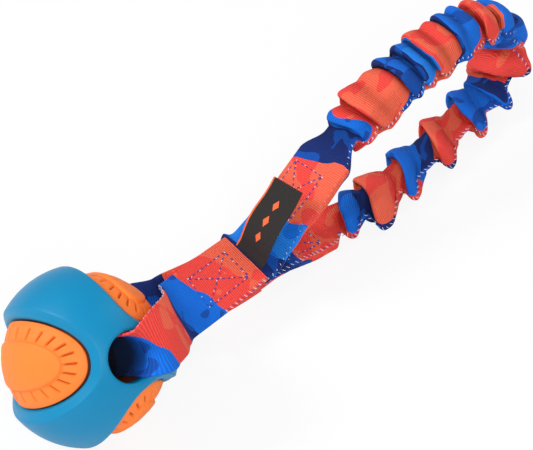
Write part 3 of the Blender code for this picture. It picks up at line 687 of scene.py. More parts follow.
# The rolls of the gathered sleeve: where each crest lies on the plain edge and on the seamed edge, how full it is,
# how far it leans over (towards the ball on both legs), and how wide it is on the side it leans to and behind
ROLLS = [
    (0.1075, 0.1095, 0.75, 0.8, 0.0040, 0.0045), (0.1195, 0.1190, 1.05, 1.0, 0.0042, 0.0075),
    (0.1310, 0.1285, 0.85, 0.4, 0.0060, 0.0055), (0.1400, 0.1375, 1.00, 0.9, 0.0036, 0.0042),
    (0.1500, 0.1465, 0.95, 0.8, 0.0036, 0.0040), (0.1590, 0.1560, 1.10, 1.0, 0.0042, 0.0065),
    (0.1695, 0.1645, 0.90, 0.5, 0.0055, 0.0050), (0.1780, 0.1710, 1.00, 1.0, 0.0038, 0.0055),
    (0.1875, 0.1775, 0.95, 0.6, 0.0045, 0.0045), (0.2005, 0.1880, 1.10, 1.0, 0.0045, 0.0065),
    (0.2130, 0.2010, 1.15, 0.5, 0.0055, 0.0080), (0.2250, 0.2140, 1.30, 0.1, 0.0080, 0.0070),
    (0.2430, 0.2340, 1.20, -0.4, 0.0055, 0.0060), (0.2500, 0.2545, 0.65, -0.6, 0.0034, 0.0044),
    (0.2600, 0.2740, 1.00, -1.0, 0.0036, 0.0044),
    (0.2860, 0.2960, 1.05, -1.0, 0.0036, 0.0048), (0.3080, 0.3220, 1.00, -1.0, 0.0036, 0.0044),
    (0.3300, 0.3420, 1.10, -1.0, 0.0040, 0.0085), (0.3440, 0.3570, 0.80, -0.9, 0.0034, 0.0042),
]
NEAR_FOLD, FAR_FOLD = 0.0905, 0.3650
ROLL_RISE, ROLL_LEAN = 0.0050, 0.0050
AROUND, SLEEVE_ROWS = 72, 1180
LOOP_TURN = (0.208, 0.246)  # where the cloth's seamed edge comes to lie on the other side
# Places along the sleeve that swell, each with its middle and its reach
LOOP_END, INNER_LOBE, OUTER_LOBE, TUCKED_CORNER = (0.219, 0.018), (0.2390, 0.006), (0.2530, 0.005), (0.0382, 0.0030)
PINCHED_HALF_WIDTH, ROLL_WIDENING = 0.0078, 0.0049
PINCHED_HALF_THICKNESS = 0.0029
INNER_LOBE_REACH, OUTER_LOBE_REACH, CORNER_REACH = 0.0022, 0.0036, 0.0022
SEAM_RISE, SEAM_DROOP = 0.0020, 0.0050
CREASE_HEIGHT, CREASE_REACH, PUCKER_HEIGHT = 0.00022, 0.00025, 0.00030
RIPPLE_HEIGHT, WAVE_HEIGHT, DRAWN_IN = 0.00035, 0.0005, 0.0003
ANCHOR_COVER = 0.0004
LEAST_HEIGHT = 0.0002
# How far along the gathering and the box stitches take hold at the near leg, and let go at the far leg
GATHER_ON, GATHER_OFF = (NEAR_FOLD - 0.002, 0.1010), (0.3560, FAR_FOLD + 0.003)
HELD_ON, HELD_OFF = (0.045, 0.064), (0.384, 0.403)
LOOSE_ON, LOOSE_OFF = (0.040, 0.055), (0.392, 0.407)
# Soft waves in the cloth: a seed, how many are summed, their range of pitches along it and of turns round it
SWAY, DRIFT, UNEVEN = (5, 5, (1.0, 2.2), (0, 1)), (6, 6, (0.8, 2.4), (1, 4)), (3, 7, (1.2, 3.0), (0, 4))
CREASES, PUCKERS = (11, 9, (500, 1500), (0, 4)), (12, 7, (60, 260), (7, 14))
RIPPLE, SLOW_WAVE = (21, 6, (220, 520), (0, 3)), (22, 4, (250, 480), (0, 1))


def swell(at, middle, reach):
    """1 at the middle, and fading to nothing past its reach on both sides."""
    return np.exp(-((at - middle) / reach) ** 2)


def row_places(route):
    """Fold phases (whole numbers at the crests) with the distance of each on the plain edge and the seamed edge."""
    knots = [(-2.0, 0.0003, 0.0003), (-1.0, NEAR_FOLD, NEAR_FOLD)]
    for k, roll in enumerate(ROLLS):
        if k:
            last = ROLLS[k - 1]
            knots.append((k - 0.5, (last[0] + roll[0]) / 2, (last[1] + roll[1]) / 2))
        knots.append((k, roll[0], roll[1]))
    count = len(ROLLS)
    return np.array(knots + [(count, FAR_FOLD + 0.001, FAR_FOLD + 0.002),
                             (count + 1, route.length - 0.0003, route.length - 0.0003)])


def crest_height(knots, phase, out):
    """How high and how wide the cloth stands there: 1 on a crest and 0 between the rolls; also the lean, and how near
    the place is to the foot of a roll that leans over it, for the painted shadow there."""
    plain, seam = (np.interp(phase, knots[:, 0], knots[:, i]) for i in (1, 2))
    at = plain * (1 + out) / 2 + seam * (1 - out) / 2
    high, wide, leaning, foot_shadow, total = 0.0, 0.0, 0.0, 0.0, 1e-9
    for plain_k, seam_k, full, lean, front, back in ROLLS:
        away = at - (plain_k * (1 + out) / 2 + seam_k * (1 - out) / 2)
        width = np.where(away * lean < 0, front, back)
        one = (1 - (away / width) ** 2).clip(0) ** 0.54 * full
        broad = (1 - (away / (width * 1.15 + 0.0006)) ** 2).clip(0) ** (0.55 if lean > 0 else 0.80) * full
        ahead = -away * np.sign(lean) - front
        foot_shadow = np.maximum(foot_shadow, swell(ahead, 0.0, np.where(ahead > 0, 0.0019, 0.0010)) * abs(lean) * full)
        high = high + one ** 6
        wide = wide + broad ** 6
        leaning = leaning + lean * broad ** 4
        total = total + broad ** 4
    return high ** (1 / 6), wide ** (1 / 6), leaning / total, foot_shadow


def sleeve_rows(knots):
    """The phases of the sleeve's rows, evenly spaced along the rolled cloth."""
    fine = np.linspace(-2.0, len(ROLLS) + 1.0, 6001)
    at = np.interp(fine, knots[:, 0], (knots[:, 1] + knots[:, 2]) / 2)
    rise, _, lean, _ = crest_height(knots, fine, 0.0)
    step = np.hypot(np.diff(at - ROLL_LEAN * lean * rise), np.diff(ROLL_RISE * rise)) + 0.4 * np.diff(at)
    cloth = np.concatenate([[0], np.cumsum(step)])
    return np.interp(np.linspace(0, cloth[-1], SLEEVE_ROWS), cloth, fine)


def soft_noise(waves, along, around=0.0):
    """A smooth sum of waves along the cloth, with whole turns round it so that it closes, about -1 to 1."""
    seed, count, pitches, turns = waves
    rng = np.random.default_rng(seed)
    total = 0.0
    for _ in range(count):
        wave = rng.uniform(*pitches) * rng.choice([-1, 1]) * along
        total = total + np.sin(wave + rng.integers(*turns) * around + rng.uniform(0, 2 * math.pi))
    return total / count * 1.6


def rolled_cloth(middle, rows, around, out, lift, turned, edge, gathered, rolls):
    """How high and how far aside the rolled cloth stands, and how far its rolls are pushed over along the sleeve."""
    fold, wide, lean = rolls
    loop_end, inner_lobe, outer_lobe = (swell(middle, *place) for place in (LOOP_END, INNER_LOBE, OUTER_LOBE))
    sway = 1 + 0.3 * soft_noise(SWAY, rows)
    half_width = PINCHED_HALF_WIDTH + ROLL_WIDENING * wide
    half_thickness = PINCHED_HALF_THICKNESS + ROLL_RISE * fold * (1 - 0.08 * turned)
    body = np.abs(lift) ** (0.8 - 0.18 * fold.clip(0, 1) * (1 - turned) + 0.2 * turned) * np.sign(lift)
    height = half_thickness * body * (1 - 0.80 * edge * (1 - 0.75 * loop_end))
    height = height + (SEAM_RISE - SEAM_DROOP * wide) * (1 - 2 * turned) * edge * sway * (1 - loop_end)
    lobes = INNER_LOBE_REACH * inner_lobe * edge, OUTER_LOBE_REACH * outer_lobe * ease(-out, 0.0, 1.0)
    reach = (half_width + lobes[0] + lobes[1]) * out
    push = -ROLL_LEAN * lean * fold * (1 - 0.7 * edge) * (0.55 + 0.45 * np.abs(body))
    creases, puckers = soft_noise(CREASES, middle, around), soft_noise(PUCKERS, middle, around)
    small = CREASE_HEIGHT * creases + PUCKER_HEIGHT * puckers * (1 - fold.clip(0, 1))
    return height + body * gathered * small, reach + out * gathered * CREASE_REACH * creases, push


def flat_ends(middle, around, out, lift):
    """The same for the flat ends, slack cloth over the end of the elastic, and a slow wave along their edges."""
    held = ease(middle, *HELD_ON) * (1 - ease(middle, *HELD_OFF))
    loose = ease(middle, *LOOSE_ON) * (1 - ease(middle, *LOOSE_OFF))
    half = SLEEVE_THICKNESS / 2 + (ANCHOR_HALF_THICKNESS + ANCHOR_COVER - SLEEVE_THICKNESS / 2) * held
    ripple = soft_noise(RIPPLE, middle, around)
    wave = WAVE_HEIGHT * soft_noise(SLOW_WAVE, middle) * loose
    height = half * np.sign(lift) * np.abs(lift) ** 0.3 + RIPPLE_HEIGHT * ripple * loose * (1 - np.abs(out) ** 4)
    corner = CORNER_REACH * swell(middle, *TUCKED_CORNER) * ease(out, 0.2, 1.0)
    reach = (SLEEVE_WIDTH / 2 - DRAWN_IN * loose * (1 + wave / WAVE_HEIGHT)) * out + corner
    return height, reach, wave


def sleeve_shape(route):
    """Corner points of the whole sleeve, from its flat near end round the gathered loop to its flat far end."""
    knots = row_places(route)
    phase = sleeve_rows(knots)
    plain, seam = (np.interp(phase, knots[:, 0], knots[:, i]) for i in (1, 2))
    turn = np.linspace(0, 2 * math.pi, AROUND + 1)
    out, lift = np.cos(turn)[None, :], np.sin(turn)[None, :]
    at = plain[:, None] * (1 + out) / 2 + seam[:, None] * (1 - out) / 2
    frames = route.frames(at.ravel())
    point, tangent, across, up = (v.reshape(*at.shape, 3) for v in frames[:4])
    middle = (plain + seam)[:, None] / 2
    gathered = ease(middle, *GATHER_ON) * (1 - ease(middle, *GATHER_OFF))
    turned = ease(middle, *LOOP_TURN)
    edge = ease(-out, 0.50, 1.0)
    hidden = np.where(lift >= 0, turned, 1 - turned)
    rows, around = phase[:, None], turn[None, :]
    drift = 0.10 * soft_noise(DRIFT, rows, around) * gathered
    strayed = rows + drift + 0.35 * ease(-out, -0.2, 0.9) * hidden * (1 - edge)
    fold, wide, lean, foot_shadow = crest_height(knots, strayed, out)
    uneven = soft_noise(UNEVEN, rows, around) * (1 - 0.7 * swell(middle, *LOOP_END))
    fold, wide = fold * (1 + 0.14 * uneven), wide * (1 + 0.10 * uneven)
    height, reach, push = rolled_cloth(middle, rows, around, out, lift, turned, edge, gathered, (fold, wide, lean))
    flat_height, flat_reach, wave = flat_ends(middle, around, out, lift)
    height = flat_height * (1 - gathered) + height * gathered + wave * np.abs(out) ** 2 * (1 - gathered)
    reach = flat_reach * (1 - gathered) + reach * gathered
    push = push * gathered
    points = point + across * reach[..., None] + up * height[..., None] + tangent * push[..., None]
    points[..., 2] = np.maximum(points[..., 2], LEAST_HEIGHT)
    # Painted shade: darker in the pinches between the rolls, with a painted shadow at the foot of each roll that leans
    # over, less on the seamed edge
    pinch_shade = gathered * (0.45 * (1 - fold.clip(0, 1)) ** 1.5 + foot_shadow) * (1 - 0.5 * edge)
    printed = np.interp(rows + drift, knots[:, 0], (knots[:, 1] + knots[:, 2]) / 2)
    printed = printed + 0.010 * hidden * ease(1 - out, 0.0, 1.6)
    printed = printed + 0.009 * (1 - hidden) * ease(-out, 0.80, 0.97) * gathered
    return middle[:, 0], turn, gathered[:, 0], points, pinch_shade, printed


def make_sleeve(route, material):
    """The printed sleeve in one piece, with its maps for print, weave and painted shade."""
    middle, turn, gathered, points, pinch_shade, printed = sleeve_shape(route)
    run = np.linalg.norm(np.diff(points, axis=0), axis=2).mean(axis=1)
    cloth = np.concatenate([[0], np.cumsum(run)])
    girth = turn / (2 * math.pi) * 2 * SLEEVE_WIDTH
    out = np.cos(turn)
    under = turn > math.pi + 1e-9
    lateral = np.where(under, SLEEVE_WIDTH - out * SLEEVE_WIDTH / 2, out * SLEEVE_WIDTH / 2)
    along = printed + 0.3 * (out * SLEEVE_WIDTH / 2)[None, :] * (1 - gathered)[:, None]
    maps = {"print": cloth_map(lateral[None, :], along), "weave": cloth_map(girth[None, :], cloth[:, None]),
            "pinch": cloth_map(pinch_shade, 0 * pinch_shade)}
    sleeve = close_up(laid_grid("gathered_sleeve", points, maps), BAND_WELD)
    dress(smooth(sleeve, 80), material)
    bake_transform(sleeve)
    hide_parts("sleeve_near_end", "sleeve_near_leg", "sleeve_grip", "sleeve_far_leg", "sleeve_far_end")
    return middle, turn, points


def make_elastic(route, material):
    """The elastic band inside the sleeve."""
    band = flat_band("elastic_band", route, np.linspace(ELASTIC_START, ELASTIC_END, 420), ELASTIC_WIDTH,
                     ELASTIC_THICKNESS, 24, ELASTIC_ASIDE)
    dress(band, material)
    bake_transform(band)
    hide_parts("bungee_elastic")


# ---------------------------------------------------------------- woven label

def label_route(route):
    """The label's line: up from its sewn end at the panel, and bowed over towards the sleeve."""
    near_panel = route.distance_at(lambda p: p.x >= BALL_CENTRE.x + PANEL_START + PANEL_LENGTH)
    point, tangent, across, up, _ = (Vector(v[0]) if v.ndim == 2 else v for v in route.frames([near_panel]))
    seat = SLEEVE_THICKNESS / 2 + LAYER_GAP + LABEL_THICKNESS / 2
    hinge = point + up * seat + tangent * LABEL_SETBACK
    stations = [(hinge, across, 0.0)]
    steps = len(LABEL_RISES)
    for i, rise in enumerate(LABEL_RISES):
        straighten = i / (steps - 1)
        lift = up.lerp(Vector((0, 0, 1)), min(1.0, straighten * 2)).normalized()
        angle = math.radians(rise)
        step = (Vector((1, 0, 0)) * math.cos(angle) + lift * math.sin(angle)) * LABEL_LENGTH / steps
        stations.append((stations[-1][0] + step, across.lerp(Vector((0, 1, 0)), straighten), 0.0))
    return Route(stations)


def make_label(route, material):
    """The woven label, sewn in at the panel's end."""
    flap = label_route(route)
    label = flat_band("black_label", flap, np.linspace(0, flap.length, 60), LABEL_WIDTH, LABEL_THICKNESS, 40)
    dress(label, material)
    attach(label, "label")
    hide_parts("woven_label")


# ---------------------------------------------------------------- sewing thread

# Each box stitch: its start and end along the webbing, and its low and high side across it
PANEL_BOX = (0.0058, 0.0286, -0.0066, 0.0074)
NEAR_BOX = (0.0607, 0.0830, -0.0050, 0.0097)
FAR_BOX = (0.3745, 0.3945, -0.0090, 0.0050)
BOX_PITCH, BOX_THICKNESS, BOX_LIFT, STITCH_BEND = 0.00235, 0.00050, 0.00006, 0.8
FLECK_ASIDE, FLECK_LENGTH_SHARE, FLECK_THICKNESS_SHARE = 0.00022, 0.36, 0.9
# Where the edges are stitched, along the strap and along the sleeve, with the side of the seam that shows
LADDER_SPAN, FOLD_SPAN = (0.0, 0.026), (0.040, 0.100)
WHIP_SPANS = [((0.036, 0.213), -1), ((0.213, 0.412), 1)]
EDGE_PITCH, EDGE_LENGTH, EDGE_THICKNESS = 0.0013, 0.0017, 0.00034
FOLD_PITCH, FOLD_LENGTH, FOLD_THICKNESS = 0.0012, 0.0015, 0.00042


def one_stitch():
    """One stitch: a short round thread, to be copied along each seam."""
    bpy.ops.object.select_all(action="DESELECT")
    bpy.ops.mesh.primitive_uv_sphere_add(segments=6, ring_count=5, radius=1.0)
    return bpy.context.object


def sew(name, spots, material, body=None):
    """One piece of many stitches, each given by its middle, direction, outward direction, length and thickness."""
    first = one_stitch()
    corners = np.array([tuple(v.co) for v in first.data.vertices])
    copies = []
    for middle, along, out, length, thickness in spots:
        along = unit(np.asarray(along, float))
        out = np.asarray(out, float)
        out = unit(out - np.dot(out, along) * along)
        side = np.cross(along, out)
        z = corners[:, 2:3]
        bend = -thickness * STITCH_BEND * z ** 2
        laid = (np.asarray(middle, float) + along * (z * length / 2) + side * (corners[:, 0:1] * thickness / 2)
                + out * (corners[:, 1:2] * thickness / 2 + bend))
        stitch = first.copy()
        stitch.data = first.data.copy()
        stitch.data.vertices.foreach_set("co", laid.ravel())
        bpy.context.scene.collection.objects.link(stitch)
        copies.append(stitch)
    bpy.data.objects.remove(first, do_unlink=True)
    seam = close_up(joined(name, copies), STITCH_WELD, fill=False)
    dress(smooth(seam, 180), material)
    if body:
        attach(seam, body)
    else:
        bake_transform(seam)


def run_along(corners, pitch):
    """Evenly spaced places along a line of corners, with the direction there."""
    corners = np.asarray(corners, float)
    along = np.concatenate([[0], np.cumsum(np.linalg.norm(np.diff(corners, axis=0), axis=1))])
    count = max(1, int(along[-1] / pitch))
    at = (np.arange(count) + 0.5) * along[-1] / count
    place, ahead, back = (np.stack([np.interp(at + step, along, corners[:, i]) for i in range(3)], axis=1)
                          for step in (0.0, pitch * 0.3, -pitch * 0.3))
    return place, unit(ahead - back + 1e-12)


def box_lines(start, end, low, high):
    """The lines of a box stitch with a cross in it, by distance along and across the webbing."""
    corners = [(start, low), (end, low), (end, high), (start, high)]
    return [*zip(corners, corners[1:] + corners[:1]), (corners[0], corners[2]), (corners[3], corners[1])]


def box_stitches(surface, lines):
    """The stitches of a box, laid on a surface that gives a place and its upward direction."""
    pitch, spots = BOX_PITCH, []
    for (s0, l0), (s1, l1) in lines:
        corners, outs = zip(*(surface(s0 + (s1 - s0) * t, l0 + (l1 - l0) * t) for t in np.linspace(0, 1, 40)))
        places, directions = run_along(corners, pitch)
        out = unit(np.mean(np.array(outs), axis=0))
        for place, along in zip(places, directions):
            spots.append((place + out * BOX_LIFT, along, out, pitch * 0.86, BOX_THICKNESS))
    return spots


def edge_stitches(edge, inward, pitch, length, slant, thickness):
    """Stitches that wrap an edge, leaning along it."""
    places, directions = run_along(edge, pitch)
    inner, _ = run_along(inward, pitch)
    inner = inner[np.clip((np.arange(len(places)) * len(inner)) // len(places), 0, len(inner) - 1)]
    spots = []
    for place, along, inside in zip(places, directions, inner):
        across = unit(inside - place)
        across = unit(across - np.dot(across, along) * along)
        lie = unit(across + along * slant)
        spots.append((place + across * length * 0.34, lie, np.cross(along, across), length, thickness))
    return spots


def make_thread(route, strap_points, strap_rows, sleeve, blue, white):
    """Box stitches on the panel and both legs, and whipped edges on the strap and the sleeve's seam."""
    middle, turn, points = sleeve
    seam = AROUND // 2

    def panel_top(along, lateral):
        point, width, _ = panel_layer(1 - along / PANEL_LENGTH, STRAP_LAYER + STRAP_THICKNESS / 2)
        up = panel_frame(1 - along / PANEL_LENGTH)[2]
        return np.array(point + width * lateral), np.array(up)

    def sleeve_top(sign):
        columns = (turn <= math.pi + 1e-9) if sign > 0 else (turn >= math.pi - 1e-9)

        def surface(along, lateral):
            row = int(np.searchsorted(middle, along))
            share = (along - middle[row - 1]) / (middle[row] - middle[row - 1])
            ring = points[row - 1] * (1 - share) + points[row] * share
            out = np.cos(turn)
            order = np.argsort(out[columns])
            ring = ring[columns][order]
            aside = lateral / (SLEEVE_WIDTH / 2)
            place = np.array([np.interp(aside, out[columns][order], ring[:, i]) for i in range(3)])
            up = route.frames([along])[3][0] * sign
            return place, up
        return surface

    boxes = []
    for surface, box in ((panel_top, PANEL_BOX), (sleeve_top(1), NEAR_BOX), (sleeve_top(-1), FAR_BOX)):
        boxes += box_stitches(surface, box_lines(*box))
    sew("blue_box_stitches", boxes, blue, "strap")
    flecks = [(place + np.cross(along, out) * FLECK_ASIDE + along * length * 0.5, along, out,
               length * FLECK_LENGTH_SHARE, thickness * FLECK_THICKNESS_SHARE)
              for place, along, out, length, thickness in boxes]
    sew("white_box_stitches", flecks[::2], white, "strap")

    near_panel, fold_rows = ((strap_rows >= low) & (strap_rows <= high) for low, high in (LADDER_SPAN, FOLD_SPAN))
    right, left = strap_points.shape[1] // 2, 0
    heights = strap_points[near_panel, :, 2].mean(axis=0)
    upper = 1 if heights[right + 3] > heights[right - 3] else -1
    ladder = edge_stitches(strap_points[near_panel, right + upper], strap_points[near_panel, right + 4 * upper],
                           EDGE_PITCH, EDGE_LENGTH, 0.5, EDGE_THICKNESS)
    fold = edge_stitches(strap_points[fold_rows, left], strap_points[fold_rows, left + 3],
                         FOLD_PITCH, FOLD_LENGTH, 0.5, FOLD_THICKNESS)
    sew("strap_edge_blue", ladder[::2] + fold[::3], blue, "strap")
    sew("strap_edge_white", ladder[1::2] + fold[1::3] + fold[2::3], white, "strap")
    whip = []
    for (low, high), side in WHIP_SPANS:
        rows = (middle >= low) & (middle < high)
        whip += edge_stitches(points[rows, seam + 2 * side], points[rows, seam + 6 * side], EDGE_PITCH, EDGE_LENGTH,
                              0.7, EDGE_THICKNESS)
    sew("seam_blue", whip[::2], blue)
    sew("seam_white", whip[1::2], white)


# ---------------------------------------------------------------- materials

NUMBER, VECTOR, COLOUR = "NodeSocketFloat", "NodeSocketVector", "NodeSocketColor"
RIB_PITCH, YARN_PITCH = 0.0009, 0.0006
MOST_STOPS = 30  # of one colour ramp


def new_material(name, roughness, shine):
    """A material of its own, with its node tree and shader."""
    material = bpy.data.materials.new(name)
    material.use_nodes = True
    shader = material.node_tree.nodes["Principled BSDF"]
    shader.inputs["Roughness"].default_value = roughness
    shader.inputs["Specular IOR Level"].default_value = shine
    return material, material.node_tree, shader


def node(tree, kind, **settings):
    """A new node of that kind, with its settings."""
    made = tree.nodes.new(kind)
    for key, value in settings.items():
        setattr(made, key, value)
    return made


def feed(tree, socket, value):
    """Links a socket to another, or sets it to a plain number, vector or colour."""
    if isinstance(value, bpy.types.NodeSocket):
        tree.links.new(value, socket)
    elif isinstance(value, tuple):
        socket.default_value = (*value, 1.0)
    else:
        socket.default_value = value


def calc(tree, operation, *values):
    """A Math node fed by sockets or plain numbers, and its result."""
    made = node(tree, "ShaderNodeMath", operation=operation)
    for socket, value in zip(made.inputs, values):
        feed(tree, socket, value)
    return made.outputs[0]


def vector_calc(tree, operation, *values):
    """A Vector Math node fed by sockets or plain vectors, and its results."""
    made = node(tree, "ShaderNodeVectorMath", operation=operation)
    for socket, value in zip(made.inputs, values):
        feed(tree, socket, value)
    return made.outputs


def blend_colour(tree, share, first, second):
    """The first colour, turning into the second as the share goes from 0 to 1."""
    made = node(tree, "ShaderNodeMix", data_type="RGBA")
    for place, value in ((0, share), (6, first), (7, second)):
        feed(tree, made.inputs[place], value)
    return made.outputs[2]


def noise(tree, where, scale, detail, **more):
    """Soft noise over the surface, about a half in its middle."""
    made = node(tree, "ShaderNodeTexNoise")
    for key, value in (("Vector", where), ("Scale", scale), ("Detail", detail), *more.items()):
        feed(tree, made.inputs[key], value)
    return made.outputs["Fac"]


def parts(tree, vector):
    """The three numbers of a vector."""
    split = node(tree, "ShaderNodeSeparateXYZ")
    tree.links.new(vector, split.inputs[0])
    return split.outputs


def own_map(tree, name):
    """A piece's own UV map of that name."""
    return node(tree, "ShaderNodeUVMap", uv_map=name).outputs[0]


def raise_surface(tree, shader, height, strength, distance):
    """Raises the surface by a height that changes over it."""
    bump = node(tree, "ShaderNodeBump")
    bump.inputs["Strength"].default_value = strength
    bump.inputs["Distance"].default_value = distance
    tree.links.new(height, bump.inputs["Height"])
    tree.links.new(bump.outputs[0], shader.inputs["Normal"])


def new_group(name, inputs, outputs):
    """A node group with named inputs and outputs, its inputs as given, and the sockets of its results."""
    tree = bpy.data.node_groups.new(name, "ShaderNodeTree")
    for key, kind, value in inputs:
        socket = tree.interface.new_socket(name=key, in_out="INPUT", socket_type=kind)
        if value is not None:
            socket.default_value = value
    for key, kind in outputs:
        tree.interface.new_socket(name=key, in_out="OUTPUT", socket_type=kind)
    return tree, tree.nodes.new("NodeGroupInput").outputs, tree.nodes.new("NodeGroupOutput").inputs


def place_group(tree, group, **values):
    """Places a group in a material with that material's values, and gives its outputs."""
    made = node(tree, "ShaderNodeGroup", node_tree=group)
    for key, value in values.items():
        feed(tree, made.inputs[key.replace("_", " ")], value)
    return made.outputs


def make_weave_group():
    """Cross ribs with fine yarns between them, from a weave map in metres."""
    tree, given, result = new_group(
        "webbing weave", [("Map", VECTOR, None), ("Rib Pitch", NUMBER, RIB_PITCH), ("Yarn Pitch", NUMBER, 0.0007)],
        [("Height", NUMBER), ("Groove", NUMBER)])
    across, along, _ = parts(tree, given["Map"])
    shift = calc(tree, "MULTIPLY", calc(tree, "SUBTRACT", noise(tree, given["Map"], 160.0, 2.0), 0.5), 0.0006)
    along = calc(tree, "ADD", along, shift)

    def wave(distance, pitch):
        turn = calc(tree, "MULTIPLY", calc(tree, "DIVIDE", distance, pitch), 2 * math.pi)
        return calc(tree, "MULTIPLY_ADD", calc(tree, "SINE", turn), 0.5, 0.5)

    rib, yarn = wave(along, given["Rib Pitch"]), wave(across, given["Yarn Pitch"])
    fine = calc(tree, "MULTIPLY", calc(tree, "MULTIPLY", yarn, rib), 0.25)
    tree.links.new(calc(tree, "ADD", calc(tree, "MULTIPLY", rib, 0.75), fine), result["Height"])
    tree.links.new(calc(tree, "SUBTRACT", 1.0, rib), result["Groove"])
    return tree


def make_print_warp_group():
    """Bends a print map's distance along the webbing by soft noise, so that its colour blotches get organic edges."""
    tree, given, result = new_group(
        "blotch edges", [("Map", VECTOR, None), ("Slant", NUMBER, 0.0), ("Swing", NUMBER, 0.012),
                         ("Blotch Size", NUMBER, 0.014)], [("Along", NUMBER)])
    across, along, _ = parts(tree, given["Map"])
    wide = noise(tree, given["Map"], calc(tree, "DIVIDE", 1.0, given["Blotch Size"]), 1.0, Roughness=0.4)
    swing = calc(tree, "MULTIPLY", calc(tree, "SUBTRACT", wide, 0.5), given["Swing"])
    lean = calc(tree, "MULTIPLY", across, given["Slant"])
    tree.links.new(calc(tree, "ADD", calc(tree, "ADD", along, swing), lean), result["Along"])
    return tree


def make_second_tone_group():
    """Where a printed zone shows its second tone, 0 or 1, from a print map."""
    tree, given, result = new_group(
        "second tone patches", [("Map", VECTOR, None), ("Least", NUMBER, 0.57)], [("Patch", NUMBER)])
    cloud = noise(tree, given["Map"], 95.0, 0.6, Distortion=0.6)
    tree.links.new(calc(tree, "GREATER_THAN", cloud, given["Least"]), result["Patch"])
    return tree


def make_cloth_shade_group():
    """Printed cloth with painted shade in the grooves of its weave and as much more as Depth gives, and a fine random
    mottle.
    """
    tree, given, result = new_group(
        "cloth shade", [("Map", VECTOR, None), ("Print", COLOUR, None), ("Groove", NUMBER, 0.0),
                        ("Depth", NUMBER, 0.0)], [("Shaded", COLOUR)])
    mottle = calc(tree, "MULTIPLY", calc(tree, "SUBTRACT", noise(tree, given["Map"], 900.0, 3.0), 0.5), 0.35)
    # Painted shade: the weave's grooves and the given depth darken the print
    grooves = calc(tree, "ADD", calc(tree, "MULTIPLY", given["Groove"], 0.45), mottle)
    darker = node(tree, "ShaderNodeHueSaturation")
    for key, value in (("Value", 0.42), ("Saturation", 1.05), ("Color", given["Print"])):
        feed(tree, darker.inputs[key], value)
    shade = calc(tree, "ADD", grooves, given["Depth"])
    tree.links.new(blend_colour(tree, shade, given["Print"], darker.outputs["Color"]), result["Shaded"])
    return tree


def zone_ramp(tree, along, length, zones):
    """Colours by distance along the webbing: each zone is where it starts and its colour, with crisp edges."""
    share, colour = calc(tree, "DIVIDE", along, length), None
    for first in range(0, len(zones), MOST_STOPS):
        ramp = node(tree, "ShaderNodeValToRGB")
        ramp.color_ramp.interpolation = "CONSTANT"
        stops = ramp.color_ramp.elements
        while len(stops) > 1:
            stops.remove(stops[-1])
        stops[0].position = 0.0
        stops[0].color = (*zones[first][1], 1.0)
        for start, tone in zones[first + 1:first + MOST_STOPS]:
            stops.new(start / length).color = (*tone, 1.0)
        tree.links.new(share, ramp.inputs["Fac"])
        if colour is None:
            colour = ramp.outputs["Color"]
        else:
            beyond = calc(tree, "GREATER_THAN", along, zones[first][0])
            colour = blend_colour(tree, beyond, colour, ramp.outputs["Color"])
    return colour


def webbing_material(name, groups, length, zones, slant, swing, patches=0.57, paint_pinch_shade=False, bore_shade=False):
    """Printed webbing: zones of colour along it, each in two tones, over a ribbed weave with painted shade in its
    grooves;
    where asked, also painted shade in the sleeve's pinches and inside the ball's bore.
    """
    weave_group, warp_group, tone_group, cloth_group = groups
    material, tree, shader = new_material(name, 0.85, 0.25)
    print_map, weave_map = own_map(tree, "print"), own_map(tree, "weave")
    along = place_group(tree, warp_group, Map=print_map, Slant=slant, Swing=swing)["Along"]
    colour = zone_ramp(tree, along, length, zones)
    second = zone_ramp(tree, along, length, [(start, SECOND_TONE[tone]) for start, tone in zones])
    patch = place_group(tree, tone_group, Map=print_map, Least=patches)["Patch"]
    colour = blend_colour(tree, patch, colour, second)
    weave = place_group(tree, weave_group, Map=weave_map, Rib_Pitch=RIB_PITCH, Yarn_Pitch=YARN_PITCH)
    # Painted shade in the sleeve's pinches and at the foot of its rolls, from its pinch map
    depth = calc(tree, "MULTIPLY", parts(tree, own_map(tree, "pinch"))["X"], 0.95) if paint_pinch_shade else 0.0
    toned = place_group(tree, cloth_group, Map=weave_map, Print=colour, Groove=weave["Groove"], Depth=depth)["Shaded"]
    # Painted shade: the strap nearly black where it lies inside the ball's bore
    if bore_shade:
        inside = calc(tree, "MULTIPLY", parts(tree, own_map(tree, "bore"))["X"], 0.9)
        toned = blend_colour(tree, inside, toned, BORE_PAINTED_SHADE)
    tree.links.new(toned, shader.inputs["Base Color"])
    raise_surface(tree, shader, weave["Height"], 0.8, 0.0003)
    return material


def make_ball_shade_group():
    """Masks for painted shade, 0 to 1: how far a place lies inside the ball's bore, and how deep in the gaps and
    notches of its panels.
    """
    tree, given, result = new_group("ball shade", [("Position", VECTOR, (0.0, 0.0, 0.0))],
                                    [("Bore", NUMBER), ("Gap", NUMBER)])
    from_centre = vector_calc(tree, "SUBTRACT", given["Position"], BALL_CENTRE)[0]
    beside = vector_calc(tree, "CROSS_PRODUCT", from_centre, BORE_AXIS)[0]
    radius = vector_calc(tree, "LENGTH", beside)["Value"]
    distance = vector_calc(tree, "LENGTH", from_centre)["Value"]
    near_wall = calc(tree, "LESS_THAN", radius, BORE_RADIUS + 0.0002)
    bore_shade, gap_shade = (node(tree, "ShaderNodeMapRange") for _ in range(2))
    for share, outer, inner in ((bore_shade, 0.0330, 0.0270), (gap_shade, 0.0305, 0.0297)):
        for key, value in (("Value", distance), ("From Min", outer), ("From Max", inner)):
            feed(tree, share.inputs[key], value)
    tree.links.new(calc(tree, "MULTIPLY", near_wall, bore_shade.outputs[0]), result["Bore"])
    tree.links.new(gap_shade.outputs[0], result["Gap"])
    return tree


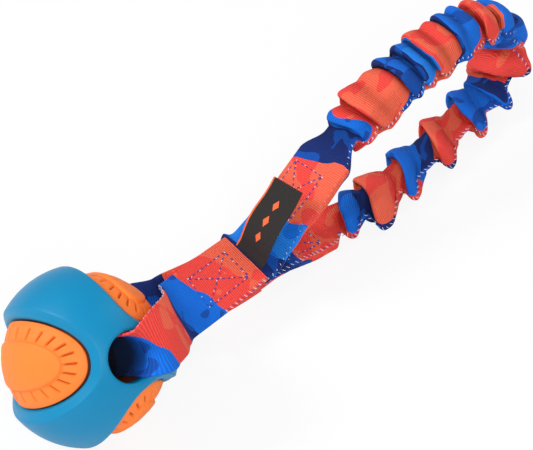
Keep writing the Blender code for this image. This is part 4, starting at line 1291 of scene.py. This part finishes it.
def make_rubber_skin_group():
    """The slight clouds and the fine grain of moulded rubber."""
    tree, given, result = new_group("moulded rubber skin", [("Position", VECTOR, None)],
                                    [("Clouds", NUMBER), ("Grain", NUMBER)])
    for key, scale, detail in (("Clouds", 45.0, 4.0), ("Grain", 2200.0, 3.0)):
        tree.links.new(noise(tree, given["Position"], scale, detail), result[key])
    return tree


def rubber_material(name, groups, tones, roughness, grain, shine):
    """Moulded rubber: a soft satin skin with fine grain and slight cloudiness in a plain and a light tone, and painted
    shade in a deep tone inside the bore and in the gaps and notches round the panels.
    """
    skin_group, shade_group = groups
    plain, light, dark = tones
    material, tree, shader = new_material(name, roughness, shine)
    place = node(tree, "ShaderNodeTexCoord").outputs["Object"]
    skin = place_group(tree, skin_group, Position=place)
    cloudy = blend_colour(tree, calc(tree, "MULTIPLY", skin["Clouds"], 0.5), plain, light)
    shade = place_group(tree, shade_group, Position=place)
    # Painted shade: the deep tone inside the bore and in the gaps and notches round the panels
    bore_shade, gap_shade = calc(tree, "MULTIPLY", shade["Bore"], 0.9), calc(tree, "MULTIPLY", shade["Gap"], 0.92)
    shaded = calc(tree, "MAXIMUM", bore_shade, gap_shade)
    tree.links.new(blend_colour(tree, shaded, cloudy, dark), shader.inputs["Base Color"])
    tree.links.new(calc(tree, "MULTIPLY_ADD", skin["Clouds"], 0.12, roughness - 0.06), shader.inputs["Roughness"])
    raise_surface(tree, shader, skin["Grain"], grain, 0.0001)
    return material


def make_twist_group():
    """The slanting bands of a twisted thread."""
    tree, given, result = new_group("thread twist", [("Position", VECTOR, None)], [("Twist", NUMBER)])
    bands = node(tree, "ShaderNodeTexWave", wave_type="BANDS", bands_direction="DIAGONAL")
    for key, value in (("Scale", 1900.0), ("Distortion", 1.5), ("Vector", given["Position"])):
        feed(tree, bands.inputs[key], value)
    tree.links.new(bands.outputs["Fac"], result["Twist"])
    return tree


def thread_material(name, twist_group, colour, dark):
    """Twisted sewing thread."""
    material, tree, shader = new_material(name, 0.6, 0.35)
    place = node(tree, "ShaderNodeTexCoord").outputs["Object"]
    twist = place_group(tree, twist_group, Position=place)["Twist"]
    tree.links.new(blend_colour(tree, twist, dark, colour), shader.inputs["Base Color"])
    raise_surface(tree, shader, twist, 0.4, 0.0001)
    return material


def lozenge_row(tree, across, along):
    """A row of small plain lozenges down the middle of the label, kept clear of its ends."""
    middle = LABEL_LENGTH * 0.53
    to_middle = calc(tree, "PINGPONG", calc(tree, "SUBTRACT", along, middle), LOZENGE_STEP / 2)
    shape = calc(tree, "ADD", calc(tree, "DIVIDE", calc(tree, "ABSOLUTE", across), LOZENGE_HALF_WIDTH),
                 calc(tree, "DIVIDE", to_middle, LOZENGE_HALF_LENGTH))
    inside = calc(tree, "COMPARE", along, middle, LOZENGE_STEP * 1.5)
    return calc(tree, "MULTIPLY", calc(tree, "LESS_THAN", shape, 1.0), inside)


def plain_weave_material(name, weave_group, colour, dark, pitch, edge=None):
    """Plain woven cloth in one colour, with painted shade in its grooves; a label also has a coloured edge and a row
    of lozenges.
    """
    material, tree, shader = new_material(name, 0.9, 0.25)
    weave_map = own_map(tree, "weave")
    weave = place_group(tree, weave_group, Map=weave_map, Rib_Pitch=pitch, Yarn_Pitch=pitch)
    # Painted shade: the darker tone in the weave's grooves
    shown = blend_colour(tree, weave["Groove"], colour, dark)
    if edge:
        edge_colour, border = edge
        across, along, _ = parts(tree, weave_map)
        marked = calc(tree, "MAXIMUM", calc(tree, "GREATER_THAN", across, border), lozenge_row(tree, across, along))
        shown = blend_colour(tree, marked, shown, edge_colour)
    tree.links.new(shown, shader.inputs["Base Color"])
    raise_surface(tree, shader, weave["Height"], 0.6, 0.0002)
    return material


# ---------------------------------------------------------------- the toy

make_camera()
make_studio()

weave_group = make_weave_group()
webbing_groups = (weave_group, make_print_warp_group(), make_second_tone_group(), make_cloth_shade_group())
rubber_groups = (make_rubber_skin_group(), make_ball_shade_group())
twist_group = make_twist_group()
shell_rubber = rubber_material("blue shell rubber", rubber_groups, SHELL_TONES, 0.44, 0.12, 0.24)
core_rubber = rubber_material("orange core rubber", rubber_groups, CORE_TONES, 0.60, 0.25, 0.30)

handle = handle_route()
strap_line = strap_route()

# The print's zones: where each starts along the webbing, and its colour; the strap's navy zone at 0.044 is a painted
# crease shadow along its fold
STRAP_ZONES = [
    (0.0, ORANGE_RED), (0.010, RED), (0.027, BLUE), (0.044, NAVY), (0.056, RED), (0.074, ORANGE_RED), (0.082, RED),
    (0.096, BLUE), (0.122, NAVY), (0.232, RED),
]
SLEEVE_ZONES = [
    (0.0, RED), (0.030, NAVY), (0.041, PALE_BLUE), (0.0575, ORANGE_RED), (0.087, NAVY), (0.1020, BLUE), (0.1105, RED),
    (0.1151, ORANGE_RED), (0.1345, NAVY), (0.1378, BLUE), (0.1425, NAVY), (0.1472, PALE_BLUE), (0.1530, RED),
    (0.1560, ORANGE_RED), (0.1700, NAVY), (0.1735, BLUE), (0.1855, RED), (0.1910, ORANGE_RED), (0.2020, BLUE),
    (0.2100, NAVY), (0.2140, BLUE), (0.2290, RED), (0.2470, NAVY), (0.2540, BLUE), (0.2715, RED),
    (0.2850, ORANGE_RED), (0.2955, NAVY), (0.3070, BLUE), (0.3195, RED), (0.3300, ORANGE_RED), (0.3405, NAVY),
    (0.3455, BLUE), (0.3550, RED), (0.3880, NAVY), (0.4050, ORANGE_RED),
]
strap_webbing = webbing_material("printed strap webbing", webbing_groups, STRAP_PRINT, STRAP_ZONES, -0.45, 0.009,
                                 patches=0.62, bore_shade=True)
sleeve_webbing = webbing_material("printed sleeve webbing", webbing_groups, SLEEVE_PRINT, SLEEVE_ZONES, 0.05, 0.007,
                                  paint_pinch_shade=True)
elastic_weave = plain_weave_material("woven elastic", weave_group, *ELASTIC_TONES, 0.0012)
label_weave = plain_weave_material("woven label", weave_group, *LABEL_TONES, 0.0005,
                                   (LABEL_ORANGE, LABEL_WIDTH / 2 - LABEL_BORDER))
blue_thread = thread_material("blue thread", twist_group, *BLUE_THREAD_TONES)
white_thread = thread_material("white thread", twist_group, *WHITE_THREAD_TONES)

make_shell(shell_rubber)
make_core(core_rubber)
strap_points, strap_rows = make_strap(strap_line, strap_webbing)
sleeve = make_sleeve(handle, sleeve_webbing)
make_elastic(handle, elastic_weave)
make_label(handle, label_weave)
make_thread(handle, strap_points, strap_rows, sleeve, blue_thread, white_thread)
